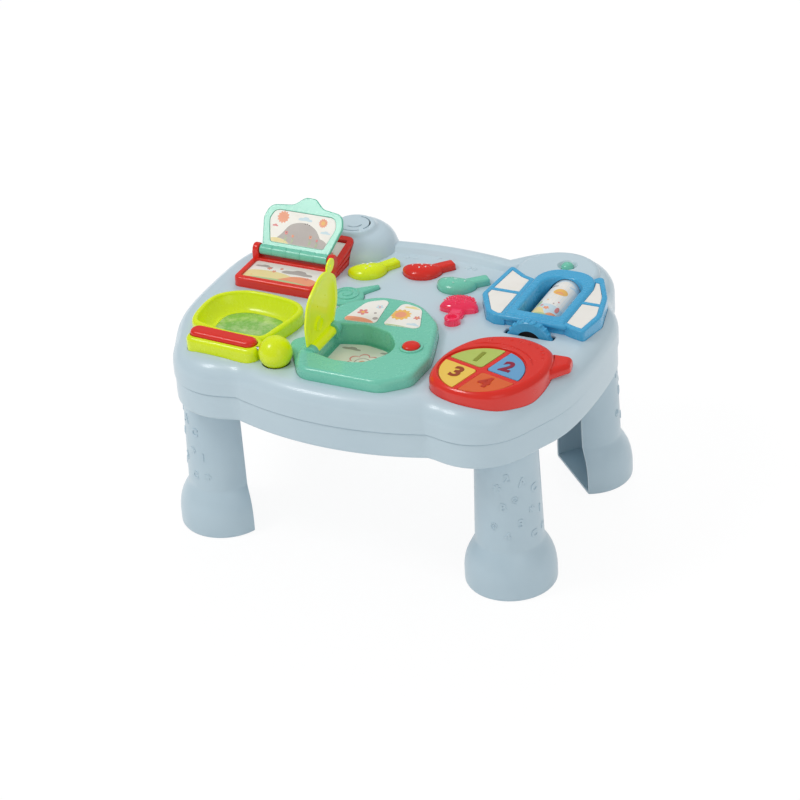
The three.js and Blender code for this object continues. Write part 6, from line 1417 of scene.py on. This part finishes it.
# Small things: power button, bubbles, screws, and the looks of what stays inside
bubbles = [(-42.8, 118.9, 4.2), (-31.9, 120.1, 3.4), (-18.5, 137.6, 4.6), (-5.8, 129.1, 3.6), (34.5, 117.3, 4.4),
           (43, 117, 3.2)]
screw = {"length": 0.62, "width": 0.16, "depth": 1.2,
         "head": [(0, 0), (0.75, 0), (1, 0.28), (1, 0.6), (0.5, 0.75)], "shank": 0.5, "tip": 0.4}
hidden = {"paleBlue": ["battery_door"], "boardGreen": ["circuit_board"], "blackPlasticAndPaintedShade": ["speaker"],
          "silicone": ["keypad_membrane"], "clearLens": ["lamp_led"],
          "cellSleeve": ["battery_1", "battery_2", "battery_3"],
          "steel": ["contact_plate_left", "contact_plate_right", "book_hinge_pin", "lid_hinge_pin", "ball_axle",
                    "roller_axle"]}


def buildSmall():
    button = domed(circle(power["radius"]), top - 3, top + 7, top + power["rise"], 12)
    show("powerButton", placed(button, power), "mint", "power", "power_button")
    parts = [(repeated(beads, [(x, y, top - 0.2)], Radius=size, Flatness=0.32, Variation=0), 0) for x, y, size in bubbles]
    show("topBubbles", gather(parts), "paleBlue", "table")
    names = ["case_screw_1", "case_screw_2", "case_screw_3", "case_screw_4"]
    for label, group in (("caseScrews", names), ("batteryDoorScrew", ["battery_door_screw"])):
        boxes = [[np.array(corner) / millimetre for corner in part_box(node)] for node in group]
        low, high = boxes[0]
        head, tall = (high[0] - low[0]) / 2, high[2] - low[2]
        shank, arm, thin = head * screw["shank"], head * screw["length"], head * screw["width"]
        form = revolve([(head * x, head * z) for x, z in screw["head"]]
                       + [(shank, tall - 1), (shank * screw["tip"], tall), (0, tall)], 32)
        cross = [prism(rectangle(-x, x, -y, y), -1, screw["depth"]) for x, y in ((arm, thin), (thin, arm))]
        item = held(without(form, *cross))
        places = [((a[0] + b[0]) / 2, (a[1] + b[1]) / 2, a[2]) for a, b in boxes]
        mesh = repeated(copies, places, Item=item, Look="steel")
        bpy.data.objects.remove(item)
        show(label, mesh, "steel", "table", group)
    for look, names in hidden.items():
        for name in names:
            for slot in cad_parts[name].material_slots:
                slot.material = finishes[look]


for build in (buildDoor, buildLid, buildMushrooms, buildSnail, buildLamp, buildWindow, buildDrum, buildKeypad,
              buildSmall):
    build()
    print("made:", build.__name__[5:].lower())


# Floor, light and camera

studio = {
    "world": 0.64, "mirrored": 0.3, "floorGlow": 1.04, "floorShare": 0.88, "floorColour": (0.9, 0.9, 0.9, 1),
    "lamps": [("keyLamp", (-1.1, -1.0, 2.2), (0, 0, 0.2), 0.7, 14),
              ("fillLamp", (1.6, -1.4, 1.2), (0, 0, 0.15), 1.4, 3),
              ("backLamp", (-0.6, 1.6, 1.8), (0, 0, 0.2), 1.0, 9)],
    "lens": 123.48, "place": (1.2126, -2.3717, 1.7070),
    "right": (0.9035, 0.4248, -0.0576), "up": (-0.1729, 0.4840, 0.8578), "back": (0.3922, -0.7651, 0.5107),
}


def buildStudio():
    bpy.ops.mesh.primitive_plane_add(size=30, location=(0, 6, 0))
    floor = bpy.context.object
    floor.name = "studioFloor"
    look = bpy.data.materials.new("studioWhite")
    look.use_nodes = True
    tree = look.node_tree
    shader = tree.nodes["Principled BSDF"]
    fill(tree, shader, {"Base Color": studio["floorColour"], "Roughness": 0.9})
    light = added(tree, "ShaderNodeEmission", {"Color": (1, 1, 1, 1), "Strength": studio["floorGlow"]})["Emission"]
    path = added(tree, "ShaderNodeLightPath")
    seen = calc(tree, "MAXIMUM", path["Is Camera Ray"], path["Is Glossy Ray"])
    seen = calc(tree, "MULTIPLY", calc(tree, "MAXIMUM", seen, path["Is Transmission Ray"]), studio["floorShare"])
    mix = added(tree, "ShaderNodeMixShader", {0: seen, 1: shader.outputs["BSDF"], 2: light})["Shader"]
    fill(tree, tree.nodes["Material Output"], {"Surface": mix})
    floor.data.materials.append(look)

    world = bpy.context.scene.world = bpy.data.worlds.new("studio")
    world.use_nodes = True
    tree, level = world.node_tree, studio["world"]
    path = added(tree, "ShaderNodeLightPath")
    seen = calc(tree, "MAXIMUM", path["Is Camera Ray"], path["Is Transmission Ray"])
    dimmer = calc(tree, "MULTIPLY", path["Is Glossy Ray"], level - studio["mirrored"])
    strength = calc(tree, "SUBTRACT", calc(tree, "MULTIPLY_ADD", seen, 1 - level, level), dimmer)
    fill(tree, tree.nodes["Background"], {"Color": (1, 1, 1, 1), "Strength": strength})
    for name, place, aim, size, energy in studio["lamps"]:
        data = bpy.data.lights.new(name, "AREA")
        data.shape, data.size, data.energy = "DISK", size, energy
        thing = held(data, name)
        thing.location = place
        thing.visible_glossy = name != "backLamp"  # its mirror image would wash out the flat top
        thing.rotation_euler = (Vector(aim) - Vector(place)).to_track_quat("-Z", "Y").to_euler()


def buildCamera():
    data = bpy.data.cameras.new("photoCamera")
    data.lens, data.sensor_width, data.clip_end = studio["lens"], 36, 60
    thing = held(data, "photoCamera")
    way = Matrix((studio["right"], studio["up"], studio["back"])).transposed()
    thing.matrix_world = Matrix.Translation(studio["place"]) @ way.normalized().to_4x4()
    bpy.context.scene.camera = thing


buildStudio()
buildCamera()
bpy.context.scene.view_settings.view_transform = "Standard"
